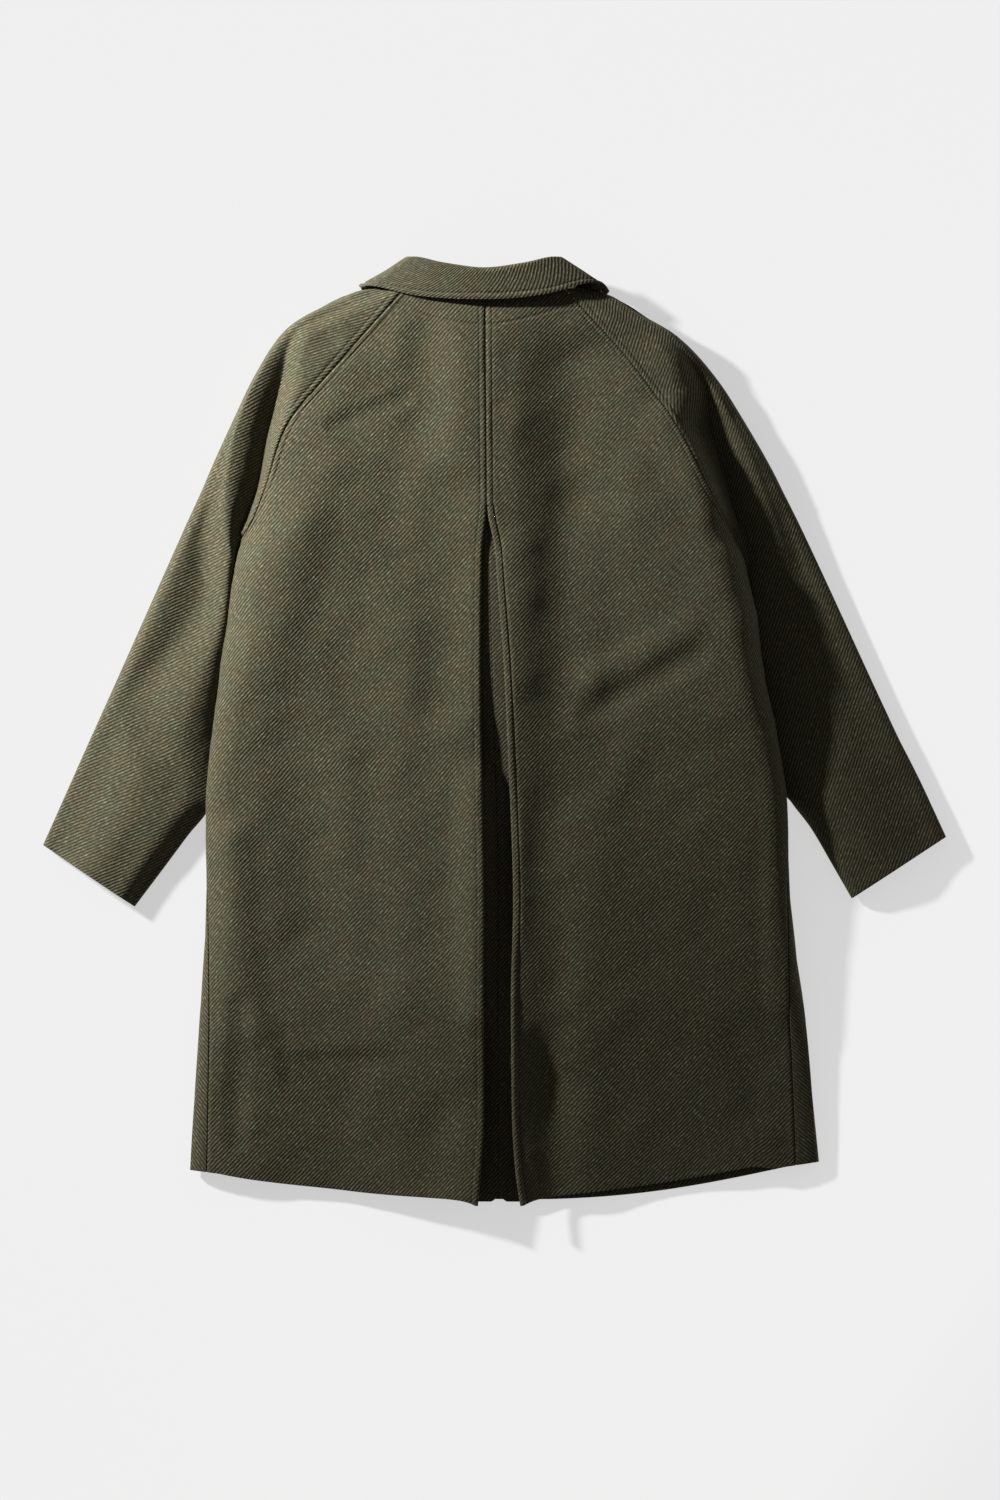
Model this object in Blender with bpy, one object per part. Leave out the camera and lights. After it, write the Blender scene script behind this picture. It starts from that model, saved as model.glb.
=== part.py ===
"""A knee-length raglan coat lying face down on a flat surface, its back and inverted pleat uppermost.

Every panel is a wall of wool cloth lofted through sections. The fronts and the under halves of the sleeves
lie on the surface, the back and the upper halves of the sleeves arch over them, and the hollow between is open
at the hem, the cuffs and the neck. +X is to the right seen from above, +Y towards the collar, +Z up.
"""

import math
from collections import namedtuple

import bmesh
import bpy
import numpy as np

# Sizes and tables are in millimetres and degrees. MM makes them metres when a mesh is made.
MM = 0.001

CENTRING = np.array([0.5, -1.3, 0.0])  # moves the coat's middle, seen from above, to the origin
CLOTH = 2.4  # thickness of the coat wool
COLLAR_CLOTH = 3.0  # two layers of it, pressed
SEAM_GAP = 0.4  # between two panels along a seam
SIDE_SEAM_GAP = 0.8  # along the side seams, which twist round the rounded sides
LAP_GAP = 1.2  # between the two fronts where they lap
NECK_Y = 465.0  # neck seam at the centre of the back
NECK_RISE = 12.0  # the seam runs up this far under the collar's fall
NECK_RISE_FADE = 0.08  # station where the rows run straight again below it
HEM_Y = -522.0  # lowest point of the hem, at the pleat
UNDERARM = 0.285  # station where the raglan seams meet the side seam
SEAM_END = 0.219  # station where the stitched centre seam ends
PLEAT_TOP = 0.232  # station of the first row with the pleat's folds
PLEAT_DEPTH = 50.0  # from the pleat's edge to its inner fold
PLEAT_LAYER_GAP = 1.0  # air between the back and the folded return under it
FRONT_OVERLAP = 42.0  # each front reaches this far past the centre front
LEFT_HEM_BOW = 4.5  # the hem of the left back hangs this far below a straight line
RIGHT_HEM_BOW = 5.0  # and that of the right back
PLEAT_TIP_DROP = 7.0  # the hem drops this far at the pleat's edges
PLEAT_TIP_WIDTH = 14.0  # and over this width
NOTCH_HEIGHT = 11.0  # where the hems of the pleat's two underlays round off at their seam
HEM_FROM = 0.8  # station from which the hem's own curve shows
TIP_FROM = 0.9  # station from which the hem drops towards the pleat's edges
NOTCH_FROM = 0.97  # station from which the underlays' hems round off
UNDERLAY_HEM_RISE = 4.0  # the underlays' hem lies this far above the pleat's edges
UNDERLAY_GAP = 0.8  # between the pleat's return and the underlay that is sewn to it
UNDERLAY_SAG = 1.0  # of the underlay behind the panel

# One row for each station down a side of the body, from the neck at 0 to the hem at 1.
# x, y: the raglan seam down to the underarm, then the outline of the side, seen from above.
# turn: where the seam lies on the rounded side, 0 at the outline, 90 on top, below 0 underneath.
# roll, under: width of the rounded side above and below its outline. belly, top: heights of both.
# sag: how far the panel sinks between its side and the pleat.
SideRow = namedtuple("SideRow", "down x y turn roll under belly top sag")
LEFT_SIDE = (
    SideRow(0.000, -100, 486, 90, 30, 50, 18, 46, 0),
    SideRow(0.060, -165, 412, 90, 30, 50, 18, 50, 0),
    SideRow(0.140, -231, 331, 84, 32, 50, 19, 53, 1),
    SideRow(0.205, -253, 267, 62, 34, 50, 20, 54, 1),
    SideRow(0.240, -268, 230, 36, 34, 50, 21, 55, 3),
    SideRow(0.262, -279, 211, 4, 34, 50, 22, 56, 4),
    SideRow(0.285, -286, 185, -18, 34, 50, 23, 58, 5),
    SideRow(0.405, -303, 66, -24, 36, 50, 28, 56, 10),
    SideRow(0.562, -318, -89, -14, 36, 44, 25, 46, 10),
    SideRow(0.660, -318, -185, 14, 34, 40, 21, 41, 11),
    SideRow(0.783, -325, -306, 46, 33, 34, 17, 34, 11),
    SideRow(0.880, -331, -400, 57, 33, 30, 14, 27, 12),
    SideRow(1.000, -337, -483, 66, 33, 28, 11, 22, 15),
)
RIGHT_SIDE = (
    SideRow(0.000, 77, 486, 90, 30, 50, 18, 45, 0),
    SideRow(0.060, 148, 407, 90, 30, 50, 18, 49, 3),
    SideRow(0.140, 205, 328, 84, 32, 50, 20, 56, 8),
    SideRow(0.205, 233, 271, 62, 34, 50, 22, 63, 8),
    SideRow(0.240, 250, 239, 36, 36, 50, 24, 66, 7),
    SideRow(0.262, 263, 213, 4, 36, 50, 25, 68, 7),
    SideRow(0.285, 273, 191, -18, 36, 50, 26, 69, 8),
    SideRow(0.405, 296, 70, -24, 38, 50, 32, 70, 10),
    SideRow(0.562, 321, -75, -10, 40, 46, 29, 57, 11),
    SideRow(0.660, 325, -180, 22, 42, 42, 25, 49, 9),
    SideRow(0.783, 340, -301, 50, 44, 36, 19, 34, 9),
    SideRow(0.880, 350, -389, 60, 44, 32, 14, 27, 13),
    SideRow(1.000, 358, -474, 66, 45, 30, 10, 20, 16),
)

# One row for each station down the centre of the back. left, right: the two edges of the pleat, which are one seam
# above it. crown: their height. left_drop, right_drop: how far the underlay lies below each edge.
CentreRow = namedtuple("CentreRow", "down left right crown left_drop right_drop")
CENTRE = (
    CentreRow(0.000, -10.5, -10.5, 48, 9, 9),
    CentreRow(0.060, -10.2, -10.2, 55, 9, 9),
    CentreRow(0.140, -9.5, -9.5, 63, 9, 9),
    CentreRow(0.219, -8.9, -8.9, 69, 9, 9),
    CentreRow(0.270, -13.5, 4.2, 70, 8.6, 7.8),
    CentreRow(0.400, -15.2, 12.0, 72, 12, 9),
    CentreRow(0.550, -13.2, 19.5, 66, 25, 16),
    CentreRow(0.770, -14.3, 18.7, 55, 25, 15),
    CentreRow(0.900, -15.0, 21.0, 43, 26, 22),
    CentreRow(1.000, -19.0, 30.0, 37, 27, 25),
)

# The largest folds of the back, each a soft ridge or trough along a line.
Fold = namedtuple("Fold", "x0 y0 x1 y1 half_width rise")
BACK_FOLDS = (
    Fold(67, 390, 58, 40, 44, -5.0),
    Fold(113, 403, 107, 266, 53, -4.5),
    Fold(102, 249, 122, 95, 53, -4.0),
    Fold(190, 337, 241, 249, 40, 8.5),
    Fold(105, 20, 225, 84, 20, -3.5),
    Fold(112, 60, 214, 116, 26, 3.5),
    Fold(34, 189, 45, 29, 40, 4.0),
    Fold(85, -64, 122, 13, 51, -4.0),
    Fold(316, -9, 320, -295, 33, 6.0),
    Fold(78, -340, 86, -530, 46, -7.0),
    Fold(-176, 337, -99, 367, 17, -2.5),
    Fold(-190, 395, -215, 233, 77, 6.0),
    Fold(-217, 233, -256, 79, 53, 6.5),
    Fold(-65, 425, -74, 332, 40, -4.5),
    Fold(-50, 260, -54, 35, 46, -7.5),
    Fold(-112, 300, -105, -240, 70, -3.0),
    Fold(-111, 156, -102, -295, 42, 3.0),
    Fold(-215, -15, -197, -218, 57, -4.5),
    Fold(-17, 2, -17, -306, 37, 8.5),
    Fold(-291, -119, -278, -328, 37, 5.5),
    Fold(-280, -300, -285, -449, 20, -3.5),
)

# One row for each station along a sleeve, 0 at the neck, 1 at the underarm and 2 at the cuff.
# out_x, out_y: the outer edge, seen from above. in_x, in_y: the underarm seam, tucked just under the side.
# edge: height of the outer edge. crest, trough: heights of the upper half's ridge and hollow, and their places from
# the outer edge at 0 to the seam at 1.
SleeveRow = namedtuple("SleeveRow", "along out_x out_y in_x in_y edge crest crest_at trough trough_at")
LEFT_SLEEVE = (
    SleeveRow(0.00, -118, 490, -100, 486, 25, 40, 0.50, 42, 0.75),
    SleeveRow(0.10, -178, 473, -138, 444, 19, 40, 0.50, 43, 0.75),
    SleeveRow(0.21, -227, 445, -165, 412, 15, 39, 0.40, 41, 0.62),
    SleeveRow(0.35, -263, 395, -203, 373, 13, 37, 0.32, 36, 0.50),
    SleeveRow(0.49, -287, 346, -231, 331, 12, 35, 0.34, 26, 0.66),
    SleeveRow(0.72, -309, 298, -253, 267, 12, 34, 0.38, 19, 0.80),
    SleeveRow(0.84, -321, 270, -268, 230, 12, 33, 0.40, 17, 0.88),
    SleeveRow(1.00, -338, 233, -286, 185, 12, 32, 0.42, 18, 0.90),
    SleeveRow(1.15, -362, 179, -290, 135, 12, 31, 0.48, 19, 0.88),
    SleeveRow(1.55, -426, 36, -305, -15, 11, 31, 0.60, 17, 0.90),
    SleeveRow(1.72, -453, -24, -311, -75, 11, 31, 0.63, 16, 0.91),
    SleeveRow(1.82, -469, -60, -332, -106, 11, 31, 0.64, 16, 0.92),
    SleeveRow(2.00, -498, -125, -397, -193, 11, 29, 0.64, 17, 0.92),
)
RIGHT_SLEEVE = (
    SleeveRow(0.00, 92, 488, 77, 486, 25, 40, 0.50, 42, 0.75),
    SleeveRow(0.10, 152, 464, 118, 441, 19, 40, 0.50, 43, 0.75),
    SleeveRow(0.21, 202, 434, 148, 407, 15, 39, 0.40, 42, 0.62),
    SleeveRow(0.35, 243, 390, 180, 366, 13, 36, 0.32, 38, 0.50),
    SleeveRow(0.49, 278, 336, 205, 328, 12, 33, 0.32, 28, 0.62),
    SleeveRow(0.72, 305, 289, 233, 271, 12, 31, 0.36, 18, 0.78),
    SleeveRow(0.84, 318, 263, 250, 239, 12, 30, 0.40, 16, 0.88),
    SleeveRow(1.00, 334, 231, 273, 191, 12, 29, 0.42, 18, 0.90),
    SleeveRow(1.15, 359, 178, 278, 140, 12, 28, 0.42, 18, 0.88),
    SleeveRow(1.55, 424, 37, 301, -5, 11, 27, 0.42, 17, 0.88),
    SleeveRow(1.70, 449, -16, 314, -62, 11, 27, 0.42, 16, 0.89),
    SleeveRow(1.80, 464, -45, 337, -90, 11, 27, 0.44, 16, 0.90),
    SleeveRow(2.00, 497, -116, 393, -184, 11, 27, 0.50, 17, 0.86),
)
SLEEVE_ROLL = 20.0  # width of a sleeve's rounded outer edge
SHOULDER_RISE = 2.5  # height of its inner end above half way to the crest
UNDERARM_SEAM_Z = 8.0  # height of a sleeve's underarm seam
UNDERARM_ROLL = 16.0  # width of the rounded edge under it
UNDERARM_PARTING = 2.8  # each half of the sleeve keeps this far from the underarm point, where four seams meet

# The front raglan seams lie on the surface, one row for each station between the neck and the underarm.
FrontRow = namedtuple("FrontRow", "down left_x right_x y")
FRONT_RAGLAN = (
    FrontRow(0.000, -88, 64, 447),
    FrontRow(0.100, -142, 118, 374),
    FrontRow(0.180, -188, 166, 292),
    FrontRow(0.240, -228, 212, 222),
)
FRONT_RAGLAN_END = 0.240  # where the seam leaves the surface and climbs the side to the underarm
FRONT_NECK_Y = 396.0  # front neck seam at the centre front
FRONT_HEM_RISE = 8.0  # at the centre the front hem lies this far above the hem of the pleat
LEFT_FRONT_BOW = 9.0  # and half way to the side the left front shows this far below a straight line
RIGHT_FRONT_BOW = 15.0  # and the right front
NECKLINE_FADE = 0.25  # station where the front's rows run straight again below the neckline
NECK_SEAM_GAP = 2.5  # between the fronts and the collar
LAP_MARGIN = 35.0  # the right front stays up this far past the left front's edge, and comes down as far again
NECK_LIFT = 5.0  # the fronts rise this far over the collar that lies under them
NECK_LIFT_FROM = 318.0  # from this far up
NECK_LIFT_FULL = 362.0
NECK_LIFT_AGAIN = 425.0  # and as far again at the neck seam
NECK_LIFT_END = 455.0
NECK_LIFT_HALF_WIDTH = 165.0
NECK_LIFT_FADE = 45.0

# The collar is a band lofted round the neck, folded over its roll line. angle is 0 at the centre back and 180 at the
# centre front. Each ring of it has its own y and z: the neck seam, the roll line and the edge of the fall.
CollarRow = namedtuple("CollarRow", "angle neck_y neck_z roll_y roll_z fall_y fall_z round")
COLLAR = (
    CollarRow(0, 482, 51, 512, 66, 474, 63, 5.5),
    CollarRow(30, 485, 50, 516.5, 65, 477, 61, 5.5),
    CollarRow(60, 490, 48, 522, 60, 486, 55, 5.5),
    CollarRow(75, 494, 40, 523, 51, 488, 44, 5.3),
    CollarRow(90, 496, 31, 519, 40, 488, 31, 5.0),
    CollarRow(99, 493, 25, 515, 30, 486, 8, 4.5),
    CollarRow(110, 484, 17, 508, 20, 476, 0.5, 4.0),
    CollarRow(125, 468, 11, 497, 12, 456, 0.5, 3.8),
    CollarRow(150, 424, 9, 468, 9, 410, 0.5, 3.8),
    CollarRow(180, 398, 9, 440, 8.5, 380, 0.5, 3.8),
)
COLLAR_ROUND = tuple(row._replace(angle=-row.angle) for row in reversed(COLLAR[1:])) + COLLAR
COLLAR_CENTRE_X = -12.0
NECK_HALF_WIDTH = 104.0
ROLL_HALF_WIDTH = 86.0
FALL_HALF_WIDTH = 138.0
COLLAR_TILT = 3.5  # the left end of the fall lies this far up, and the right end as far down
FALL_CURL = 6.0  # the right half of the fall curls up this far off the shoulder
CURL_ANGLE = 52.0  # around this angle
CURL_SPREAD = 24.0
FALL_DIP = 8.0  # the left half lies this much closer to the shoulder
DIP_ANGLE = -66.0  # around this angle
COLLAR_END = 172.0  # angle at which the collar stops, just short of the centre front

WOOL_COLOUR = (0.085, 0.079, 0.050, 1.0)
PLEAT_COLOUR = (0.070, 0.065, 0.042, 1.0)
WOOL_ROUGHNESS = 0.92


def smooth(places, values, at):
    """Value at a place on a smooth curve through the given ones, which never overshoots them."""
    places, values = np.asarray(places, float), np.asarray(values, float)
    steps = np.diff(places)
    slopes = np.diff(values) / steps
    tangents = np.zeros(len(values))
    same_way = slopes[:-1] * slopes[1:] > 0
    before, after = slopes[:-1][same_way], slopes[1:][same_way]
    tangents[1:-1][same_way] = 2 * before * after / (before + after)
    tangents[0], tangents[-1] = slopes[0], slopes[-1]
    i = int(np.clip(np.searchsorted(places, at) - 1, 0, len(steps) - 1))
    t = (np.clip(at, places[0], places[-1]) - places[i]) / steps[i]
    rise = steps[i] * ((t**3 - 2 * t**2 + t) * tangents[i] + (t**3 - t**2) * tangents[i + 1])
    return values[i] + (3 * t**2 - 2 * t**3) * (values[i + 1] - values[i]) + rise


def station(table, at):
    """A table's row at any station, each column read from a smooth curve through its rows."""
    columns = list(zip(*table))
    return type(table[0])(*(smooth(columns[0], column, at) for column in columns))


def ease(share):
    """A smooth step from 0 to 1."""
    share = np.clip(share, 0.0, 1.0)
    return share * share * (3 - 2 * share)


def below(start, down):
    """A smooth step from 0 at a station to 1 at the hem."""
    return ease((down - start) / (1 - start))


def unit(vector):
    return vector / np.linalg.norm(vector)


def fold_height(x, y):
    """What the back's folds add at a place: a soft bump across each fold's line, rounded off at its ends."""
    total = np.zeros_like(x)
    for fold in BACK_FOLDS:
        start = np.array([fold.x0, fold.y0], float)
        line = np.array([fold.x1, fold.y1]) - start
        share = np.clip(((x - start[0]) * line[0] + (y - start[1]) * line[1]) / (line @ line), 0, 1)
        away = np.hypot(x - start[0] - share * line[0], y - start[1] - share * line[1])
        total = total + fold.rise * np.cos(np.clip(away / fold.half_width, 0, 1) * math.pi / 2) ** 2
    return total


def floor_height(x, y):
    """Height of the fronts' outer face: on the surface, but for the rise over the collar near the neck."""
    up = ease((y - NECK_LIFT_FROM) / (NECK_LIFT_FULL - NECK_LIFT_FROM))
    up = up + ease((y - NECK_LIFT_AGAIN) / (NECK_LIFT_END - NECK_LIFT_AGAIN))
    across = ease((NECK_LIFT_HALF_WIDTH + NECK_LIFT_FADE - np.abs(x - COLLAR_CENTRE_X)) / NECK_LIFT_FADE)
    return NECK_LIFT * up * across


def line_normals(points, inward, outside):
    """Normals of a section's line in its upright plane, all on the side that outside gives at the line's start."""
    tangents = np.gradient(points, axis=0)
    flat = np.array([inward[0], inward[1], 0.0])
    along, up = tangents @ flat, tangents[:, 2]
    normals = np.outer(-up, flat) + np.outer(along, (0.0, 0.0, 1.0))
    normals /= np.linalg.norm(normals, axis=1)[:, None]
    return normals if normals[0] @ outside >= 0 else -normals


def spaced(points, normals, shares):
    """A section's line again, with points at the given shares of its length."""
    length = np.concatenate([[0], np.cumsum(np.linalg.norm(np.diff(points, axis=0), axis=1))])
    at = np.asarray(shares) * length[-1]
    line = np.stack([np.interp(at, length, points[:, k]) for k in range(3)], axis=1)
    facing = np.stack([np.interp(at, length, normals[:, k]) for k in range(3)], axis=1)
    return line, facing / np.linalg.norm(facing, axis=1)[:, None]


def shares_to_ends(count, crowding):
    """Shares from 0 to 1, closer together towards both ends."""
    t = np.linspace(0, 1, count)
    return (1 - crowding) * t + crowding * (1 - np.cos(math.pi * t)) / 2


class Half:
    """One half of the coat's body: its side table and the sign of its side."""

    def __init__(self, name, side, sleeve, sign):
        self.name, self.side, self.sleeve, self.sign = name, side, sleeve, sign
        self.hem_bow = LEFT_HEM_BOW if name == "left" else RIGHT_HEM_BOW
        self.front_bow = LEFT_FRONT_BOW if name == "left" else RIGHT_FRONT_BOW

    def centre_x(self, down):
        """Edge of the panel at the centre back, with half a seam's gap to the other panel."""
        row = station(CENTRE, down)
        return (row.left if self.sign < 0 else row.right) + self.sign * SEAM_GAP / 2

    def frame(self, down):
        """(side row, the outline's point, the edge at the centre back, the unit direction inward) of a section."""
        row = station(self.side, down)
        rise = NECK_RISE * ease(1 - down / NECK_RISE_FADE)
        edge = np.array([self.centre_x(down), NECK_Y + (HEM_Y - NECK_Y) * down + rise])
        outline = np.array([row.x, row.y], float)
        inward = unit(edge - outline)
        if down < UNDERARM and row.turn > 0:
            outline = outline - inward * row.roll * (1 - math.cos(math.radians(row.turn)))
        return row, outline, edge, inward

    def rolled(self, row, outline, inward, turns):
        """Points of the rounded side at the given turns, above the outline and below it."""
        turns = np.radians(turns)
        out = np.where(turns >= 0, row.roll, row.under) * (1 - np.cos(turns))
        height = np.where(turns >= 0, row.top - row.belly, row.belly) * np.sin(turns) + row.belly
        plan = outline + np.outer(out, inward)
        lift = fold_height(plan[:, 0], plan[:, 1]) * np.clip(np.sin(turns), 0, 1)
        return np.column_stack([plan, height + lift])

    def over_the_top(self, row, outline, edge, inward, down, shares):
        """Points of the panel between its rounded side at 0 and its edge at the centre back at 1."""
        start = outline + inward * row.roll
        plan = start + np.outer(shares, edge - start)
        hem = below(HEM_FROM, down)
        tip = below(TIP_FROM, down) * PLEAT_TIP_DROP
        away = np.abs(plan[:, 0] - edge[0])
        plan[:, 1] += tip * (1 - np.exp(-away / PLEAT_TIP_WIDTH)) - hem * self.hem_bow * np.sin(math.pi * shares)
        crown = station(CENTRE, down).crown
        height = row.top + (crown - row.top) * np.sin(shares * math.pi / 2)
        height = height - row.sag * np.sin(math.pi * shares) ** 1.5
        return np.column_stack([plan, height + fold_height(plan[:, 0], plan[:, 1])])

    def side_seam(self, down, facing):
        """The seam's turn on the rounded side, moved by half the seam's gap towards the front (-1) or back (1)."""
        row = station(self.side, down)
        turn = math.radians(row.turn)
        wide, high = (row.roll, row.top - row.belly) if row.turn >= 0 else (row.under, row.belly)
        radius = math.hypot(wide * math.sin(turn), high * math.cos(turn))
        return row.turn + facing * math.degrees(SIDE_SEAM_GAP / 2 / radius)


LEFT = Half("left", LEFT_SIDE, LEFT_SLEEVE, -1)
RIGHT = Half("right", RIGHT_SIDE, RIGHT_SLEEVE, 1)

UPPER_STATIONS = (0.0, 0.02, 0.04, 0.06, 0.08, 0.11, 0.14, 0.17, 0.205, 0.24, 0.262, UNDERARM)
LOWER_STATIONS = (0.335, 0.405, 0.48, 0.562, 0.61, 0.66, 0.722, 0.783, 0.83, 0.88, 0.94, 1.0)
STATIONS = tuple(sorted(UPPER_STATIONS + LOWER_STATIONS + (SEAM_END, PLEAT_TOP)))
FINE = 60  # points of a section's line before it is spaced out
BACK_COLUMNS = 17
FRONT_COLUMNS = 14
SLEEVE_COLUMNS = 13
FOLD_COLUMNS = 5
RETURN_COLUMNS = 4


def back_outer(half, down):
    """The back panel's section from its raglan or side seam to the centre back."""
    row, outline, edge, inward = half.frame(down)
    turn = half.side_seam(down, 1)
    parts = []
    if turn < 89:
        parts.append(half.rolled(row, outline, inward, np.linspace(turn, 90, FINE, endpoint=False)))
    fold_radius = CLOTH + PLEAT_LAYER_GAP / 2
    end = edge - inward * fold_radius if down >= PLEAT_TOP else edge
    first = SEAM_GAP / 2 / np.linalg.norm(end - outline) if turn >= 89 else 0.0
    parts.append(half.over_the_top(row, outline, end, inward, down, np.linspace(first, 1, FINE)))
    points = np.concatenate(parts)
    outside = np.array([-inward[0], -inward[1], 0.0]) if turn < 45 else np.array([0.0, 0.0, 1.0])
    return points, line_normals(points, inward, outside), inward


def pleat_fold(points, inward):
    """The fold at the pleat's edge and the return under the panel, following the panel's end."""
    radius = CLOTH + PLEAT_LAYER_GAP / 2
    flat = np.array([inward[0], inward[1], 0.0])
    centre = points[-1] - (0, 0, radius)
    angles = np.radians(np.linspace(90, -90, FOLD_COLUMNS + 2)[1:])
    arc = np.array([centre + radius * (math.cos(a) * flat + np.array([0, 0, math.sin(a)])) for a in angles])
    arc_normals = (arc - centre) / radius
    away = np.linalg.norm(points[:, :2] - points[-1, :2], axis=1)[::-1]
    back = np.linspace(0, PLEAT_DEPTH, RETURN_COLUMNS + 1)[1:]
    under = np.array([[np.interp(b, away, points[::-1, k]) for k in range(3)] for b in back])
    under[:, 2] -= 2 * radius
    return np.concatenate([arc, under]), np.concatenate([arc_normals, np.tile((0.0, 0.0, -1.0), (len(under), 1))])


def back_rows(half):
    """Outer points and normals of a back panel, a row for each station. Rows below the pleat's top are longer."""
    rows = []
    shares = shares_to_ends(BACK_COLUMNS, 0.45)
    for down in STATIONS:
        points, normals, inward = back_outer(half, down)
        line, facing = spaced(points, normals, shares)
        if down >= PLEAT_TOP:
            fold, fold_facing = pleat_fold(points, inward)
            line, facing = np.concatenate([line, fold]), np.concatenate([facing, fold_facing])
        rows.append((line, facing))
    return rows


def underlay_rows(half):
    """Outer points of one half of the pleat's underlay, from its inner fold to the seam at the pleat's centre."""
    rows = []
    for down in [d for d in STATIONS if d >= PLEAT_TOP]:
        _, _, edge, inward = half.frame(down)
        centre = station(CENTRE, down)
        points, _, _ = back_outer(half, down)
        fold, _ = pleat_fold(points, inward)
        start = fold[-1] - (0, 0, UNDERLAY_GAP)
        middle_x = (centre.left + centre.right) / 2 + half.sign * SEAM_GAP / 2
        edge_z = points[-1, 2] - (centre.left_drop if half.sign < 0 else centre.right_drop)
        middle_z = centre.crown - (centre.left_drop + centre.right_drop) / 2
        under_edge = np.array([edge[0], edge[1], edge_z])
        hem_rise = np.array([0, UNDERLAY_HEM_RISE * below(TIP_FROM, down), 0])
        between = np.array([0.6 * middle_x + 0.4 * edge[0], edge[1], 0.6 * middle_z + 0.4 * edge_z])
        line = np.array([
            start,
            fold[-1 - RETURN_COLUMNS // 3] - (0, 0, UNDERLAY_GAP + UNDERLAY_SAG),
            under_edge + hem_rise,
            between + hem_rise,
            (middle_x, edge[1] + NOTCH_HEIGHT * below(NOTCH_FROM, down), middle_z),
        ])
        rows.append((line, np.tile((0.0, 0.0, 1.0), (len(line), 1))))
    return rows


def front_raglan_turn(row, down):
    """Turn on the rounded side that the front raglan seam has climbed to, from the surface to the underarm."""
    climb = (down - FRONT_RAGLAN_END) / (UNDERARM - FRONT_RAGLAN_END)
    return -90 + climb * (90 + row.turn)


def front_raglan(half, down):
    """Point of the front raglan seam: along the surface, then up the rounded side to the underarm."""
    row, outline, _, inward = half.frame(down)
    if down > FRONT_RAGLAN_END:
        return half.rolled(row, outline, inward, np.array([front_raglan_turn(row, down)]))[0]
    seam = station(FRONT_RAGLAN, down)
    x = seam.left_x if half.sign < 0 else seam.right_x
    return np.array([x, seam.y, floor_height(x, seam.y)])


def front_edge(half, down):
    """The front's edge, past the centre front."""
    y = FRONT_NECK_Y + (HEM_Y + FRONT_HEM_RISE - FRONT_NECK_Y) * down
    return np.array([station(CENTRE, 0.0).left - half.sign * FRONT_OVERLAP, y])


def neckline_drop(x, down):
    """How far the front's rows follow the curve of the neck seam, which fades out below the neck."""
    across = np.clip(np.abs(x - COLLAR_CENTRE_X) / NECK_HALF_WIDTH, 0, 1)
    angles = 180 - np.degrees(np.arcsin(across))
    ring = np.array([station(COLLAR, angle).neck_y for angle in angles]) - NECK_SEAM_GAP
    straight = np.interp(np.arange(len(x)), (0, len(x) - 1), (ring[0], ring[-1]))
    return (ring - straight) * ease(1 - down / NECKLINE_FADE)


def lap_height(half, x):
    """Height of the right front over the left one, which it laps past the centre front."""
    if half.sign < 0:
        return np.zeros_like(x)
    past = x - (station(CENTRE, 0.0).left + FRONT_OVERLAP)
    return (CLOTH + LAP_GAP) * ease(1 - (past - LAP_MARGIN) / LAP_MARGIN)


def front_rows(half):
    """Outer points and normals of a front: from its edge along the surface and up the side to the side seam."""
    rows = []
    for down in UPPER_STATIONS + LOWER_STATIONS:
        edge = front_edge(half, down)
        row, outline, _, inward = half.frame(down)
        climb = np.zeros((0, 3))
        if down >= UNDERARM:
            climb = half.rolled(row, outline, inward, np.linspace(-88, half.side_seam(down, -1), FINE))
            reach = climb[0, :2]
        elif down > FRONT_RAGLAN_END:
            climb = half.rolled(row, outline, inward, np.linspace(-88, front_raglan_turn(row, down) - 1, FINE))
            reach = climb[0, :2]
        else:
            seam = front_raglan(half, down)[:2]
            reach = seam + unit(edge - seam) * SEAM_GAP / 2
        plan = edge + np.outer(np.linspace(0, 1, FINE), reach - edge)
        plan[:, 1] += neckline_drop(plan[:, 0], down)
        plan[:, 1] -= half.front_bow * below(HEM_FROM, down) * np.sin(math.pi * np.linspace(0, 1, FINE))
        height = floor_height(plan[:, 0], plan[:, 1]) + lap_height(half, plan[:, 0])
        flat = np.column_stack([plan, height])
        points = np.concatenate([flat[:-1], climb]) if len(climb) else flat
        normals = line_normals(points, unit(reach - edge), np.array([0.0, 0.0, -1.0]))
        rows.append(spaced(points, normals, shares_to_ends(FRONT_COLUMNS, 0.35)))
    return rows


def sleeve_stations():
    """(station along the sleeve, matching station down the body or None below the underarm) for each row."""
    upper = [(down / UNDERARM, down) for down in UPPER_STATIONS]
    return upper + [(along, None) for along in (1.08, 1.18, 1.32, 1.46, 1.58, 1.68, 1.76, 1.84, 1.92, 2.0)]


def edge_shares():
    """Shares across a sleeve, closer together towards both of its rounded edges."""
    return shares_to_ends(FINE * 2, 0.85)


def sleeve_profile(row, shares, length, start_z, end_z):
    """Heights across a sleeve's upper half, from its rounded outer edge over crest and trough to its seam."""
    roll = SLEEVE_ROLL / length
    shoulder = 0.5 * (row.edge + row.crest) + SHOULDER_RISE
    places = (roll, max(row.crest_at, roll + 0.05), row.trough_at, 1.0)
    levels = (shoulder, row.crest, row.trough, end_z)
    heights = np.full(len(shares), shoulder)
    for i in range(3):
        t = np.clip((shares - places[i]) / (places[i + 1] - places[i]), 0, 1)
        rounded_edge = i == 2 and end_z < row.trough
        step = 1 - np.sqrt(1 - t**2) if rounded_edge else ease(t)
        heights = np.where(t > 0, levels[i] + (levels[i + 1] - levels[i]) * step, heights)
    turn = np.arccos(np.clip(1 - shares / roll, 0, 1))
    return np.where(shares < roll, start_z + (shoulder - start_z) * np.sin(turn), heights)


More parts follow.
